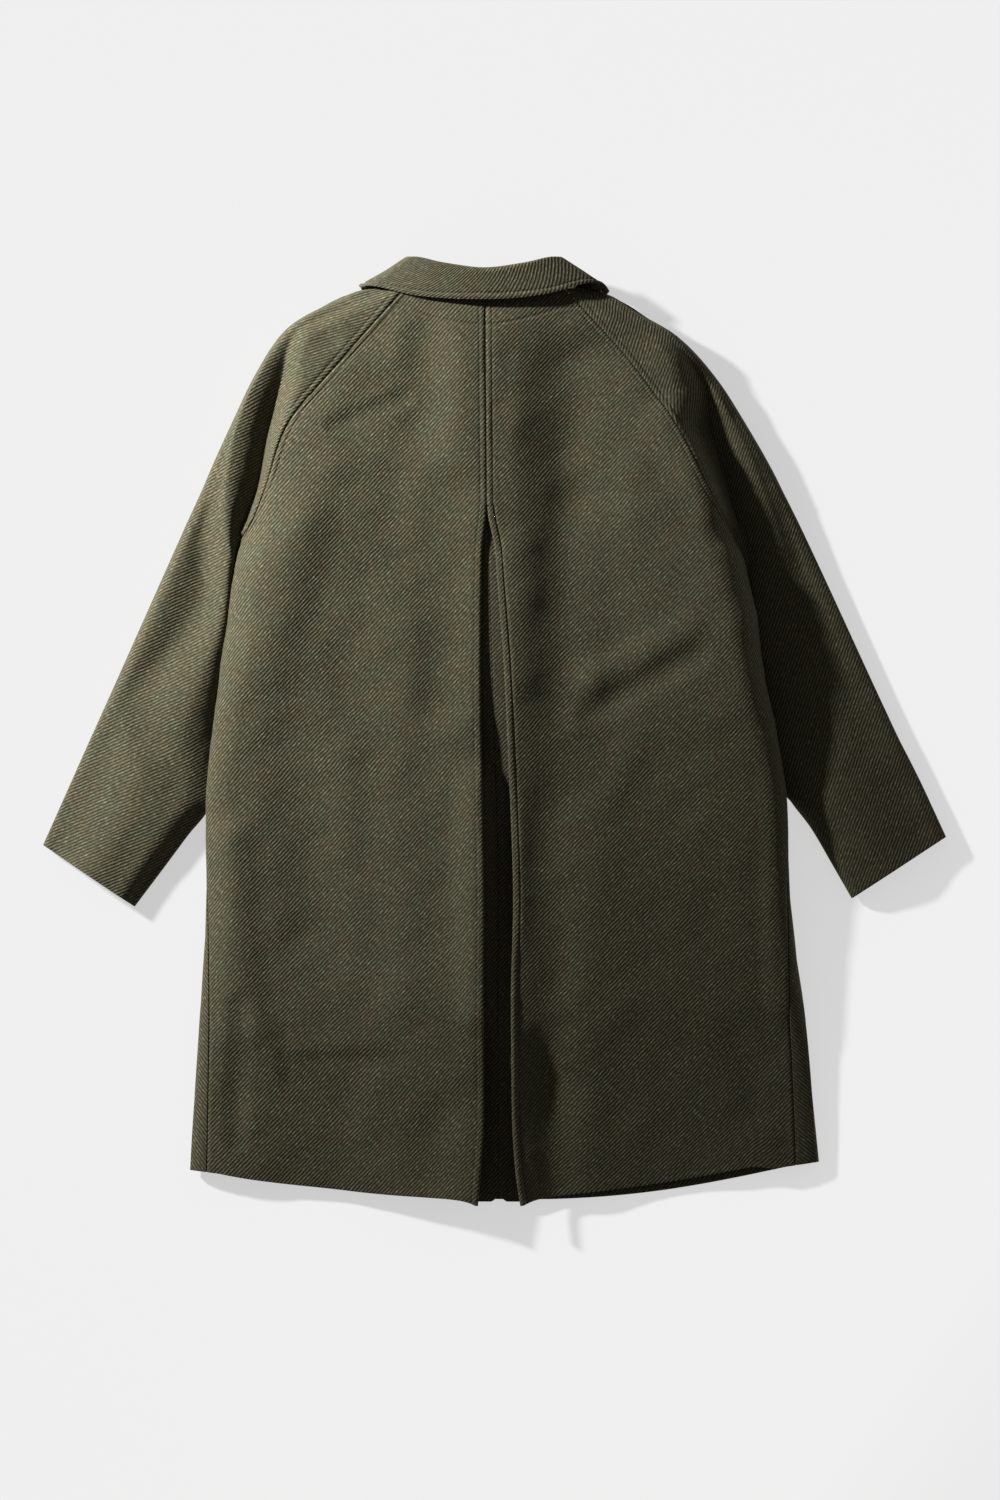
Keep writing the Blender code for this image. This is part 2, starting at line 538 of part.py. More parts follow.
def sleeve_back_rows(half):
    """Outer points and normals of a sleeve's upper half, from its outer edge to the raglan or underarm seam."""
    rows = []
    for along, down in sleeve_stations():
        row = station(half.sleeve, along)
        start = np.array([row.out_x, row.out_y], float)
        end, end_normal = np.array([row.in_x, row.in_y, UNDERARM_SEAM_Z + SEAM_GAP / 2]), None
        if down is not None:
            body, body_normals, _ = back_outer(half, down)
            end = body[0] - unit(body[1] - body[0]) * SEAM_GAP + body_normals[0] * SEAM_GAP * (1 - body_normals[0, 2])
            end_normal = body_normals[0]
            if down == UNDERARM:
                end = end + body_normals[0] * UNDERARM_PARTING / 2 + (0, 0, UNDERARM_PARTING)
        shares = edge_shares()
        heights = sleeve_profile(row, shares, np.linalg.norm(end[:2] - start), row.edge + SEAM_GAP / 2, end[2])
        points = np.column_stack([start + np.outer(shares, end[:2] - start), heights])
        inward = unit(end[:2] - start)
        normals = line_normals(points, inward, np.array([-inward[0], -inward[1], 0.1]))
        line, facing = spaced(points, normals, shares_to_ends(SLEEVE_COLUMNS, 0.5))
        facing[0] = (-inward[0], -inward[1], 0.0)
        if down is None:
            facing[-1] = (inward[0], inward[1], 0.0)
        elif end_normal[2] > 0.8:
            facing[-1] = end_normal
        rows.append((line, facing))
    return rows


def sleeve_front_rows(half):
    """Outer points and normals of a sleeve's under half: down from its outer edge, along the surface to its seam."""
    rows = []
    for along, down in sleeve_stations():
        row = station(half.sleeve, along)
        start = np.array([row.out_x, row.out_y], float)
        end = np.array([row.in_x, row.in_y, UNDERARM_SEAM_Z - SEAM_GAP / 2])
        if down is not None:
            end = front_raglan(half, down)
            away = unit(start - end[:2])
            end = end + np.array([away[0], away[1], 0.0]) * SEAM_GAP
            end[2] -= SEAM_GAP if down > FRONT_RAGLAN_END else 0.0
            end[2] -= UNDERARM_PARTING if down == UNDERARM else 0.0
        length = np.linalg.norm(end[:2] - start)
        shares = edge_shares()
        plan = start + np.outer(shares, end[:2] - start)
        ground = floor_height(plan[:, 0], plan[:, 1])
        turn = np.arccos(np.clip(1 - shares * length / SLEEVE_ROLL, 0, 1))
        heights = ground + (row.edge - SEAM_GAP / 2 - ground) * (1 - np.sin(turn))
        climb = np.clip(1 - (1 - shares) * length / UNDERARM_ROLL, 0, 1)
        heights = heights + max(end[2] - ground[-1], 0.0) * (1 - np.sqrt(1 - climb**2))
        points = np.column_stack([plan, heights])
        inward = unit(end[:2] - start)
        normals = line_normals(points, inward, np.array([-inward[0], -inward[1], -0.1]))
        line, facing = spaced(points, normals, shares_to_ends(SLEEVE_COLUMNS, 0.5))
        facing[0] = (-inward[0], -inward[1], 0.0)
        if down is None:
            facing[-1] = (inward[0], inward[1], 0.0)
        rows.append((line, facing))
    return rows


def collar_rows():
    """Outer points and normals of the collar: a row for each angle round the neck, from the fall's edge to the neck."""
    rows = []
    for angle in np.linspace(-COLLAR_END, COLLAR_END, 41):
        row = station(COLLAR_ROUND, angle)
        across = math.sin(math.radians(angle))
        curl = FALL_CURL * math.exp(-(((angle - CURL_ANGLE) / CURL_SPREAD) ** 2))
        dip = FALL_DIP * math.exp(-(((angle - DIP_ANGLE) / CURL_SPREAD) ** 2))
        fall_y = row.fall_y - COLLAR_TILT * across + 0.6 * curl
        fall = np.array([COLLAR_CENTRE_X + FALL_HALF_WIDTH * across, fall_y, row.fall_z + curl - dip])
        roll = np.array([COLLAR_CENTRE_X + ROLL_HALF_WIDTH * across, row.roll_y, row.roll_z])
        neck = np.array([COLLAR_CENTRE_X + NECK_HALF_WIDTH * across, row.neck_y, row.neck_z])
        down = unit((fall + neck) / 2 - roll)
        out = fall - neck
        out = unit(out - (out @ down) * down)
        centre = roll + down * row.round
        arc_angles = np.radians(np.linspace(0, 180, 7))
        arc = np.array([centre + row.round * (math.cos(a) * out - math.sin(a) * down) for a in arc_angles])
        line = np.concatenate([
            [fall, fall * 0.65 + arc[0] * 0.35, fall * 0.3 + arc[0] * 0.7],
            arc,
            [arc[-1] * 0.5 + neck * 0.5, neck],
        ])
        tangents = np.gradient(line, axis=0)
        plane = unit(np.cross(out, down))
        normals = np.cross(tangents, plane)
        normals /= np.linalg.norm(normals, axis=1)[:, None]
        if normals[0] @ out < 0:
            normals = -normals
        rows.append((line, normals))
    return rows


def cloth_material(name, colour):
    material = bpy.data.materials.new(name)
    material.use_nodes = True
    shader = material.node_tree.nodes["Principled BSDF"]
    shader.inputs["Base Color"].default_value = colour
    shader.inputs["Roughness"].default_value = WOOL_ROUGHNESS
    shader.inputs["Metallic"].default_value = 0.0
    return material


def wall(name, rows, thickness, material, collection, parent):
    """A closed wall of cloth lofted through rows of outer points, its inner side moved in along the normals."""
    mesh_parts = bmesh.new()
    outer = [[mesh_parts.verts.new((p + CENTRING) * MM) for p in line] for line, _ in rows]
    inner = []
    for line, facing in rows:
        inner.append([mesh_parts.verts.new((p + CENTRING - thickness * n) * MM) for p, n in zip(line, facing)])
    edge_uses = {}
    for upper, lower, upper_in, lower_in in zip(outer, outer[1:], inner, inner[1:]):
        for j in range(min(len(upper), len(lower)) - 1):
            corners = [(upper[j], upper_in[j]), (lower[j], lower_in[j])]
            corners += [(lower[j + 1], lower_in[j + 1]), (upper[j + 1], upper_in[j + 1])]
            mesh_parts.faces.new([c[0] for c in corners])
            mesh_parts.faces.new([c[1] for c in reversed(corners)])
            for one, two in zip(corners, corners[1:] + corners[:1]):
                key = frozenset((one[0], two[0]))
                edge_uses.setdefault(key, []).append((one, two))
    for uses in edge_uses.values():
        if len(uses) == 1:
            one, two = uses[0]
            mesh_parts.faces.new((one[0], one[1], two[1], two[0]))
    bmesh.ops.recalc_face_normals(mesh_parts, faces=mesh_parts.faces)
    if mesh_parts.calc_volume(signed=True) < 0:
        bmesh.ops.reverse_faces(mesh_parts, faces=mesh_parts.faces)
    mesh = bpy.data.meshes.new(name)
    mesh_parts.to_mesh(mesh)
    mesh_parts.free()
    mesh.materials.append(material)
    mesh.shade_smooth()
    mesh.set_sharp_from_angle(angle=math.radians(40))
    panel = bpy.data.objects.new(name, mesh)
    panel.parent = parent
    collection.objects.link(panel)
    return panel


def main():
    for old in list(bpy.data.objects):
        bpy.data.objects.remove(old)
    collection = bpy.data.collections.new("raglan_coat")
    bpy.context.scene.collection.children.link(collection)
    coat = bpy.data.objects.new("coat", None)
    collection.objects.link(coat)
    wool = cloth_material("coat_wool", WOOL_COLOUR)
    shaded_wool = cloth_material("pleat_wool", PLEAT_COLOUR)
    for half in (LEFT, RIGHT):
        wall(f"back_{half.name}", back_rows(half), CLOTH, wool, collection, coat)
        wall(f"pleat_underlay_{half.name}", underlay_rows(half), CLOTH, shaded_wool, collection, coat)
        wall(f"front_{half.name}", front_rows(half), CLOTH, wool, collection, coat)
        wall(f"sleeve_back_{half.name}", sleeve_back_rows(half), CLOTH, wool, collection, coat)
        wall(f"sleeve_front_{half.name}", sleeve_front_rows(half), CLOTH, wool, collection, coat)
    wall("collar", collar_rows(), COLLAR_CLOTH, wool, collection, coat)


main()
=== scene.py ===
"""Dresses the flat-laid raglan coat: wool twill panels with folds, seams and stitching, and the stage.

Every panel is a thin shell on sections like its solid's, made finer and with more of the drape. The small
creases and the sunk seams are added along its normals. Tables are in millimetres and degrees, +X to the
right seen from above, +Y towards the collar.
"""

import math
from collections import namedtuple
from dataclasses import dataclass
from functools import lru_cache

import bmesh
import bpy
import numpy as np
from bpy.props import FloatProperty, FloatVectorProperty, IntProperty, PointerProperty
from bpy.types import Operator, Panel, PropertyGroup
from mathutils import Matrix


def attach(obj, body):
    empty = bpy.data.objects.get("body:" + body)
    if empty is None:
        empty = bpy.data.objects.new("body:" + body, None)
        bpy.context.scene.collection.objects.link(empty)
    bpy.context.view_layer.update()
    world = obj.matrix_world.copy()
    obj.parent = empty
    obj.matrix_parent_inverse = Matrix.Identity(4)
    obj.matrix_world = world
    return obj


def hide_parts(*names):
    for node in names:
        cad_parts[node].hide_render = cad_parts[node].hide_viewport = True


bl_info = {
    "name": "Raglan Coat",
    "version": (1, 0, 0),
    "blender": (4, 5, 0),
    "location": "3D View > Sidebar > Coat",
    "description": "Dresses a flat-laid raglan coat in wool twill, with pleat, collar, seams and stitching",
    "category": "Add Mesh",
}

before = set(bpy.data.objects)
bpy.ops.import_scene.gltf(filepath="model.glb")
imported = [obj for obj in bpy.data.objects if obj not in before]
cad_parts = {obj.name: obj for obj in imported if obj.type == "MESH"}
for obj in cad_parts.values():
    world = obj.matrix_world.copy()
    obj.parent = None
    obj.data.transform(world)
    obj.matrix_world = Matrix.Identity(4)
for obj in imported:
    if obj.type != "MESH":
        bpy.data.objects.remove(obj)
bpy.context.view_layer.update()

MM = 0.001
UP = np.array([0.0, 0.0, 1.0])
CENTRING = np.array([0.5, -1.3, 0.0])  # moves the coat's middle, seen from above, to the origin
SEAM_GAP = 0.4  # between two panels along a seam
SIDE_SEAM_GAP = 0.8  # along the side seams, which twist round the rounded sides
LAP_GAP = 1.2  # between the two fronts where they lap
CLOTH = 2.4  # thickness of the coat wool that the sections allow for
NECK_Y = 465.0  # neck seam at the centre of the back
NECK_RISE = 12.0  # the seam runs up this far under the collar's fall
NECK_RISE_FADE = 0.08  # station where the rows run straight again below it
HEM_Y = -522.0  # lowest point of the hem, at the pleat
UNDERARM = 0.285  # station where the raglan seams meet the side seam
SEAM_END = 0.219  # station where the stitched centre seam ends
PLEAT_TOP = 0.221  # station of the first row with the pleat's folds
PLEAT_DEPTH = 50.0  # from the pleat's edge to its inner fold
PLEAT_RADIUS = 2.9  # of the fold at the pleat's edge
UNDERLAY_HEM_RISE = 4.0  # the underlays' hem lies this far above the pleat's edges
UNDERLAY_GAP = 0.8  # between the pleat's return and the underlay that is sewn to it
UNDERLAY_SAG = 1.0  # of the underlay behind the panel
UNDERLAY_POST = 0.4  # share of the way from the pleat's centre to its edge where the underlay is guided
FRONT_OVERLAP = 42.0  # each front reaches this far past the centre front
PLEAT_TIP_DROP = 7.0  # the hem drops this far at the pleat's edges
PLEAT_TIP_WIDTH = 14.0  # and over this width
NOTCH_HEIGHT = 11.0  # where the hems of the pleat's two underlays round off at their seam
HEM_FROM = 0.8  # station from which the rows bend to the hem's bow
TIP_FROM = 0.9  # and to the drop at the pleat's edges
NOTCH_FROM = 0.97  # and the underlays' rows to the rounded ends of their seam
SAG_POWER = 1.5  # gathers a panel's sag at its middle
ON_TOP = 89.0  # turn from which a seam lies on top of the rounded side
ON_SIDE = 45.0  # turn up to which a section starts facing outward
# The left panel's seam allowance, pressed under the right panel: (past the seam, height).
ALLOWANCE = ((0.3, -1.6), (1.4, -3.3), (5.0, -3.6), (9.0, -3.6))

# One row for each station down a side of the body, from the neck at 0 to the hem at 1.
# x, y: the raglan seam down to the underarm, then the outline of the side, seen from above.
# turn: where the seam lies on the rounded side, 0 at the outline, 90 on top, below 0 underneath.
# roll, under: width of the rounded side above and below its outline. belly, top: heights of both.
# sag: how far the panel sinks between its side and the pleat.
SideRow = namedtuple("SideRow", "down x y turn roll under belly top sag")
LEFT_SIDE = (
    SideRow(0.000, -100, 486, 90, 30, 50, 18, 49, 0),
    SideRow(0.060, -165, 412, 90, 30, 50, 18, 51, 0),
    SideRow(0.140, -231, 331, 84, 32, 50, 19, 53, 1),
    SideRow(0.205, -253, 267, 62, 34, 50, 20, 54, 1),
    SideRow(0.240, -268, 230, 36, 34, 50, 21, 55, 3),
    SideRow(0.262, -279, 211, 4, 34, 50, 22, 56, 4),
    SideRow(0.285, -286, 185, -18, 34, 50, 23, 58, 5),
    SideRow(0.405, -303, 66, -24, 36, 50, 28, 56, 10),
    SideRow(0.562, -318, -89, -14, 36, 44, 25, 46, 10),
    SideRow(0.660, -318, -185, 14, 34, 40, 21, 41, 11),
    SideRow(0.783, -325, -306, 46, 33, 34, 17, 34, 11),
    SideRow(0.880, -331, -400, 57, 33, 30, 14, 26, 14),
    SideRow(1.000, -337, -483, 66, 33, 28, 10, 19, 19),
)
RIGHT_SIDE = (
    SideRow(0.000, 77, 486, 90, 30, 50, 18, 49, 0),
    SideRow(0.060, 148, 407, 90, 30, 50, 18, 51, 3),
    SideRow(0.140, 205, 328, 84, 32, 50, 20, 56, 8),
    SideRow(0.205, 233, 271, 62, 34, 50, 22, 63, 8),
    SideRow(0.240, 250, 239, 36, 36, 50, 24, 66, 7),
    SideRow(0.262, 263, 213, 4, 36, 50, 25, 68, 7),
    SideRow(0.285, 273, 191, -18, 32, 50, 26, 72, 9),
    SideRow(0.405, 296, 70, -24, 30, 50, 33, 77, 13),
    SideRow(0.562, 321, -75, -10, 30, 46, 28, 55, 11),
    SideRow(0.660, 325, -180, 22, 34, 42, 23, 43, 9),
    SideRow(0.783, 340, -301, 50, 44, 36, 18, 31, 9),
    SideRow(0.880, 350, -389, 60, 44, 32, 13, 24, 14),
    SideRow(1.000, 358, -474, 66, 45, 30, 9, 17, 19),
)

# One row for each station down the centre of the back. left, right: the two edges of the pleat, which are
# one seam above it. crown: their height. left_drop, right_drop: how far the underlay lies below each edge.
CentreRow = namedtuple("CentreRow", "down left right crown left_drop right_drop")
CENTRE = (
    CentreRow(0.000, -10.5, -10.5, 54, 7, 7),
    CentreRow(0.060, -10.2, -10.2, 59, 7, 7),
    CentreRow(0.140, -9.5, -9.5, 64, 7, 7),
    CentreRow(0.219, -8.9, -8.9, 69, 7, 7),
    CentreRow(0.270, -13.5, -0.4, 70, 6.6, 6.4),
    CentreRow(0.305, -14.4, 2.2, 70.8, 6.9, 6.7),
    CentreRow(0.340, -14.8, 5.0, 71.4, 7.2, 7.0),
    CentreRow(0.400, -15.2, 9.4, 72, 8.6, 8.0),
    CentreRow(0.450, -14.9, 11.9, 71, 11.0, 9.8),
    CentreRow(0.500, -14.0, 14.0, 69, 15.2, 13),
    CentreRow(0.550, -13.2, 16.4, 66, 13, 14),
    CentreRow(0.660, -11.5, 19.6, 61, 19, 20),
    CentreRow(0.770, -12.0, 17.2, 55, 21, 11),
    CentreRow(0.900, -11.5, 18.4, 43, 26, 22),
    CentreRow(0.960, -15.0, 22.0, 39, 27, 24),
    CentreRow(1.000, -18.5, 27.5, 37, 27, 25),
)

# The largest folds of the back, each a soft ridge or trough along a line.
Fold = namedtuple("Fold", "x0 y0 x1 y1 half_width rise")
BACK_FOLDS = (
    Fold(72, 400, 62, 40, 53, -10.0),
    Fold(30, 410, 28, 240, 34, -2.2),
    Fold(113, 403, 107, 266, 53, -6.0),
    Fold(102, 249, 122, 95, 53, -4.0),
    Fold(190, 337, 241, 249, 40, 8.5),
    Fold(106, 21, 222, 84, 23, -3.8),
    Fold(112, 60, 214, 116, 26, 3.5),
    Fold(32, 340, 45, 29, 40, 4.0),
    Fold(85, -64, 122, 13, 51, -4.0),
    Fold(316, -9, 320, -295, 33, 6.0),
    Fold(-176, 337, -99, 367, 17, -2.5),
    Fold(-190, 395, -215, 233, 77, 6.0),
    Fold(-217, 233, -256, 79, 53, 6.5),
    Fold(-73, 425, -78, 332, 42, -5.5),
    Fold(-40, 430, -40, 230, 50, 2.5),
    Fold(-98, 270, -95, 160, 48, -3.0),
    Fold(-50, 260, -54, 35, 46, -7.5),
    Fold(-112, 300, -105, -240, 70, -3.0),
    Fold(-111, 156, -102, -295, 42, 3.0),
    Fold(-215, -15, -197, -218, 57, -4.5),
    Fold(-17, -60, -17, -306, 37, 10.0),
    Fold(-291, -119, -278, -328, 37, 5.5),
    Fold(-280, -300, -285, -449, 20, -3.5),
)

# Smaller creases, each a trough or ridge along a bowed line that fades out at both ends.
Crease = namedtuple("Crease", "x0 y0 x1 y1 bow half_width rise")
BACK_CREASES = (
    Crease(-177, 149, -162, 0, 0, 20, -2.0),
    Crease(-56, -27, -56, -311, 0, 18, -1.2),
    Crease(-223, -343, -52, -331, -3, 20, 1.8),
    Crease(-269, -376, -132, -424, 0, 30, -3.2),
    Crease(-56, -374, -72, -531, 0, 29, -4.4),
    Crease(-247, -475, -89, -493, 0, 18, 0.8),
    Crease(-185, 321, -90, 348, 3, 14, -1.8),
    Crease(-205, 279, -108, 299, 3, 15, 1.4),
    Crease(13, 491, 44, 346, 0, 29, 1.2),
    Crease(14, 329, 96, 290, 0, 21, -2.4),
    Crease(213, 234, 295, 77, -4, 27, 3.0),
    Crease(145, 64, 216, 104, 0, 15, 0.9),
    Crease(136, -25, 293, -9, 4, 28, -2.9),
    Crease(23, -39, 24, -266, 0, 17, 3.6),
    Crease(215, -170, 272, -245, 0, 28, -2.5),
    Crease(82, -318, 84, -385, 0, 22, 1.2),
    Crease(114, -311, 238, -300, 3, 27, 0.8),
    Crease(121, -369, 137, -473, 0, 27, -2.0),
    Crease(275, -304, 290, -458, 0, 33, -3.4),
    Crease(72, -199, 72, -315, 0, 20, -1.4),
    Crease(-118, 408, -106, 345, 4, 15, -1.6),
    Crease(-150, 372, -108, 300, -8, 16, 1.2),
    Crease(-284, -366, -52, -362, 3, 9, -0.9),
    Crease(-270, -352, -70, -349, 3, 8, 0.6),
    Crease(66, -364, 170, -370, -3, 13, -0.5),
    Crease(100, -362, 232, -300, 6, 22, -1.0),
    Crease(110, -338, 225, -280, 6, 18, 0.6),
    Crease(-286, -290, -262, -420, 5, 11, -1.4),
    Crease(-258, -300, -240, -410, 4, 10, 1.0),
    Crease(-235, -306, -222, -400, -3, 9, -0.9),
    Crease(262, -300, 300, -440, -5, 15, -1.2),
    Crease(180, 20, 292, 60, 8, 26, -0.8),
    Crease(-270, -60, -212, 30, 6, 22, -1.1),
    Crease(105, 430, 118, -60, 0, 48, -1.6),
    Crease(58, 110, 62, -480, 0, 34, -8.0),
    Crease(60, -285, 70, -625, 0, 30, -13.0),
    Crease(102, -290, 112, -640, 0, 48, -3.0),
)
SLEEVE_CREASES = (
    Crease(-420, 20, -352, -20, -6, 15, -1.0),
    Crease(-445, -20, -380, -70, -6, 14, 0.9),
    Crease(-206, 450, -166, 420, 0, 9, -3.6),
    Crease(352, 60, 420, 30, 6, 15, -1.0),
    Crease(372, -20, 452, -50, 7, 15, 1.0),
    Crease(396, -60, 470, -90, 6, 13, -0.9),
)
UNEVEN_WAVES = ((150.0, 0.60), (96.0, 0.45), (58.0, 0.28), (33.0, 0.15), (21.0, 0.09))  # (length, height)
WAVES_EACH = 4
WAVE_SPREAD = (0.8, 1.25)  # a wave's own length lies between these shares of its kind's
BACK_SEED, SLEEVE_SEED, COLLAR_SEED = 11, 23, 37
COLLAR_WAVES = 0.5  # share of the waves' height that shows on the pressed collar
CREASE_FADE = 0.3  # share of a crease's length over which each of its ends fades out
# The creases and waves fade in over these distances from the seams and edges.
SIDE_CALM, CENTRE_CALM, SLEEVE_CALM, COLLAR_CALM, ROLL_CALM = 12.0, 7.0, 14.0, 12.0, 8.0

# One row for each station along a sleeve, 0 at the neck, 1 at the underarm and 2 at the cuff.
# out_x, out_y: the outer edge, seen from above. in_x, in_y: the underarm seam, tucked just under the side.
# edge: height of the outer edge. roll, shoulder: width of its rounding and the height there.
# dip, crest, trough: heights on the way to the seam, with their places: 0 at the outer edge, 1 at the seam.
# bank_at: where the sleeve lies level again beside the raglan seam. Past 1 it still climbs at the seam.
SleeveRow = namedtuple(
    "SleeveRow",
    "along out_x out_y in_x in_y edge roll shoulder dip dip_at crest crest_at trough trough_at bank_at",
)
LEFT_SLEEVE = (
    SleeveRow(0.00, -118, 490, -100, 486, 25, 5, 38, 40, 0.36, 44, 0.50, 46, 0.60, 0.90),
    SleeveRow(0.05, -148, 485.5, -119, 466, 22, 5, 39, 40.5, 0.26, 42.5, 0.36, 44, 0.44, 0.78),
    SleeveRow(0.10, -178, 473, -138, 444, 19, 6, 40, 41, 0.18, 41.5, 0.22, 42, 0.28, 0.65),
    SleeveRow(0.21, -227, 445, -165, 412, 15, 6, 44, 44.2, 0.11, 44.4, 0.13, 44.6, 0.16, 0.42),
    SleeveRow(0.35, -263, 395, -203, 373, 15, 4, 45, 45, 0.066, 45, 0.07, 34, 0.45, 0.82),
    SleeveRow(0.49, -287, 346, -231, 331, 13, 5, 37, 37.5, 0.095, 38, 0.105, 21, 0.68, 0.97),
    SleeveRow(0.72, -309, 298, -253, 267, 12, 8, 28, 32, 0.18, 36, 0.28, 16, 0.86, 1.00),
    SleeveRow(0.84, -321, 270, -268, 230, 12, 9, 25, 27, 0.20, 37, 0.49, 18, 0.90, 1.00),
    SleeveRow(1.00, -338, 233, -286, 185, 12, 9, 22, 20, 0.28, 36, 0.86, 34, 0.94, 1.00),
    SleeveRow(1.15, -362, 179, -290, 135, 12, 10, 27, 20.5, 0.54, 35, 0.90, 33, 0.95, 1.00),
    SleeveRow(1.55, -426, 36, -305, -15, 11, 11, 22, 22, 0.18, 32, 0.67, 18, 0.94, 1.00),
    SleeveRow(1.72, -453, -24, -311, -75, 11, 11, 16, 28, 0.50, 25.5, 0.76, 15, 0.96, 1.00),
    SleeveRow(1.82, -469, -60, -332, -106, 11, 11, 15, 28, 0.55, 27, 0.78, 14, 0.96, 1.00),
    SleeveRow(2.00, -498, -125, -397, -193, 11, 11, 15, 27, 0.52, 24, 0.78, 13, 0.96, 1.00),
)
RIGHT_SLEEVE = (
    SleeveRow(0.00, 92, 488, 77, 486, 25, 5, 38, 40, 0.36, 44, 0.50, 46, 0.60, 0.90),
    SleeveRow(0.05, 125, 480.5, 98, 464, 22, 5, 38.5, 40, 0.26, 42, 0.36, 43.5, 0.44, 0.78),
    SleeveRow(0.10, 152, 464, 118, 441, 19, 6, 39, 40, 0.18, 40.5, 0.22, 41, 0.28, 0.65),
    SleeveRow(0.21, 202, 434, 148, 407, 15, 6, 40, 40.3, 0.11, 40.6, 0.12, 41, 0.14, 0.42),
    SleeveRow(0.35, 243, 390, 180, 366, 13, 6, 27, 28, 0.10, 30, 0.13, 26, 0.22, 0.80),
    SleeveRow(0.49, 278, 336, 205, 328, 12, 7, 27, 28.5, 0.12, 31, 0.18, 17, 0.58, 1.30),
    SleeveRow(0.72, 305, 289, 233, 271, 12, 8, 26, 28, 0.14, 31.5, 0.24, 14, 0.72, 1.40),
    SleeveRow(0.84, 318, 263, 250, 239, 12, 9, 24.5, 26, 0.16, 30, 0.30, 14, 0.82, 1.40),
    SleeveRow(1.00, 334, 231, 273, 191, 12, 10, 21, 22, 0.20, 27, 0.38, 16, 0.90, 1.30),
    SleeveRow(1.15, 359, 178, 278, 140, 12, 10, 18, 16.5, 0.20, 17.5, 0.42, 16, 0.90, 1.00),
    SleeveRow(1.55, 424, 37, 301, -5, 11, 11, 17, 17, 0.20, 20, 0.42, 15, 0.90, 1.00),
    SleeveRow(1.70, 449, -16, 314, -62, 11, 11, 18, 18, 0.15, 27, 0.60, 17, 0.92, 1.00),
    SleeveRow(1.80, 464, -45, 337, -90, 11, 11, 18, 18, 0.15, 28, 0.66, 20, 0.93, 1.00),
    SleeveRow(2.00, 497, -116, 393, -184, 11, 11, 18, 18, 0.15, 25, 0.60, 20, 0.93, 1.00),
)
UNDER_ROLL = 12.0  # width of the rounding under a sleeve's outer edge
UNDERARM_SEAM_Z = 8.0  # height of a sleeve's underarm seam
UNDERARM_SEAM_LIFT = 2 * SEAM_GAP  # the edge of a sleeve's upper half lies this far above it
UNDERARM_ROLL = 16.0  # width of the rounded edge under it
UNDERARM_PARTING = 2.8  # each half of a sleeve keeps this far from the underarm, where four seams meet
UNDERARM_FADE = 0.08  # over this much of the sleeve its seam leaves the body's seam
LEAST_BANK = 0.02  # a sleeve climbs to its raglan seam over at least this share of its width
EDGE_TILT = 0.1  # at its outer edge a sleeve's upper half faces up by this much, and its under half down
LEVEL = 0.8  # a seam whose normal points up more than this counts as level

# The front raglan seams lie on the surface, one row for each station between the neck and the underarm.
FrontRow = namedtuple("FrontRow", "down left_x right_x y")
FRONT_RAGLAN = (
    FrontRow(0.000, -88, 64, 447),
    FrontRow(0.100, -142, 118, 374),
    FrontRow(0.180, -188, 166, 292),
    FrontRow(0.240, -228, 212, 222),
)
FRONT_RAGLAN_END = 0.240  # where the seam leaves the surface and climbs the side to the underarm
FRONT_NECK_Y = 396.0  # front neck seam at the centre front
FRONT_HEM_RISE = 8.0  # at the centre the front hem lies this far above the hem of the pleat
FRONT_LIFT_OFF = -88.0  # turn at which a front leaves the surface to climb the side
FRONT_SEAM_TURN = 1.0  # turn that it keeps from its raglan seam there
NECKLINE_FADE = 0.25  # station where the front's rows run straight again below the neckline
NECK_SEAM_GAP = 2.5  # between the fronts and the collar
LAP_MARGIN = 35.0  # past the left front's edge the right one stays up this far, then comes down as far on
NECK_LIFT = 5.0  # the fronts rise this far over the collar that lies under them
NECK_LIFT_FROM, NECK_LIFT_FULL = 318.0, 362.0  # between these places, on the way up to the neck
NECK_LIFT_AGAIN, NECK_LIFT_END = 425.0, 455.0  # and as far again between these, at the neck seam
NECK_LIFT_HALF_WIDTH = 165.0  # on each side of the collar's centre
NECK_LIFT_FADE = 45.0  # and over this width they come down again

# The collar is a band lofted round the neck, folded over its roll line. angle is 0 at the centre back and
# 180 at the centre front. Each ring has its own y and z: the neck seam, the roll line and the fall's edge.
# round: radius of the fold at the roll line.
CollarRow = namedtuple("CollarRow", "angle neck_y neck_z roll_y roll_z fall_y fall_z round")
COLLAR = (
    CollarRow(0, 482, 51, 509, 66, 474, 63, 5.5),
    CollarRow(30, 485, 50, 514, 65, 477, 61, 5.5),
    CollarRow(60, 490, 48, 519.5, 60, 486, 55, 5.5),
    CollarRow(75, 494, 40, 519.5, 51, 488, 44, 5.3),
    CollarRow(90, 496, 31, 515, 40, 488, 31, 5.0),
    CollarRow(99, 493, 25, 512, 30, 486, 8, 4.5),
    CollarRow(110, 484, 17, 508, 20, 476, 0.5, 4.0),
    CollarRow(125, 468, 11, 497, 12, 456, 0.5, 3.8),
    CollarRow(150, 424, 9, 468, 9, 410, 0.5, 3.8),
    CollarRow(180, 398, 9, 440, 8.5, 380, 0.5, 3.8),
)
COLLAR_ROUND = tuple(row._replace(angle=-row.angle) for row in reversed(COLLAR[1:])) + COLLAR
COLLAR_CENTRE_X = -12.0
NECK_HALF_WIDTH = 104.0
ROLL_HALF_WIDTH = 82.0
FALL_HALF_WIDTH = 138.0
COLLAR_TILT = 3.5  # the left end of the fall lies this far up, and the right end as far down
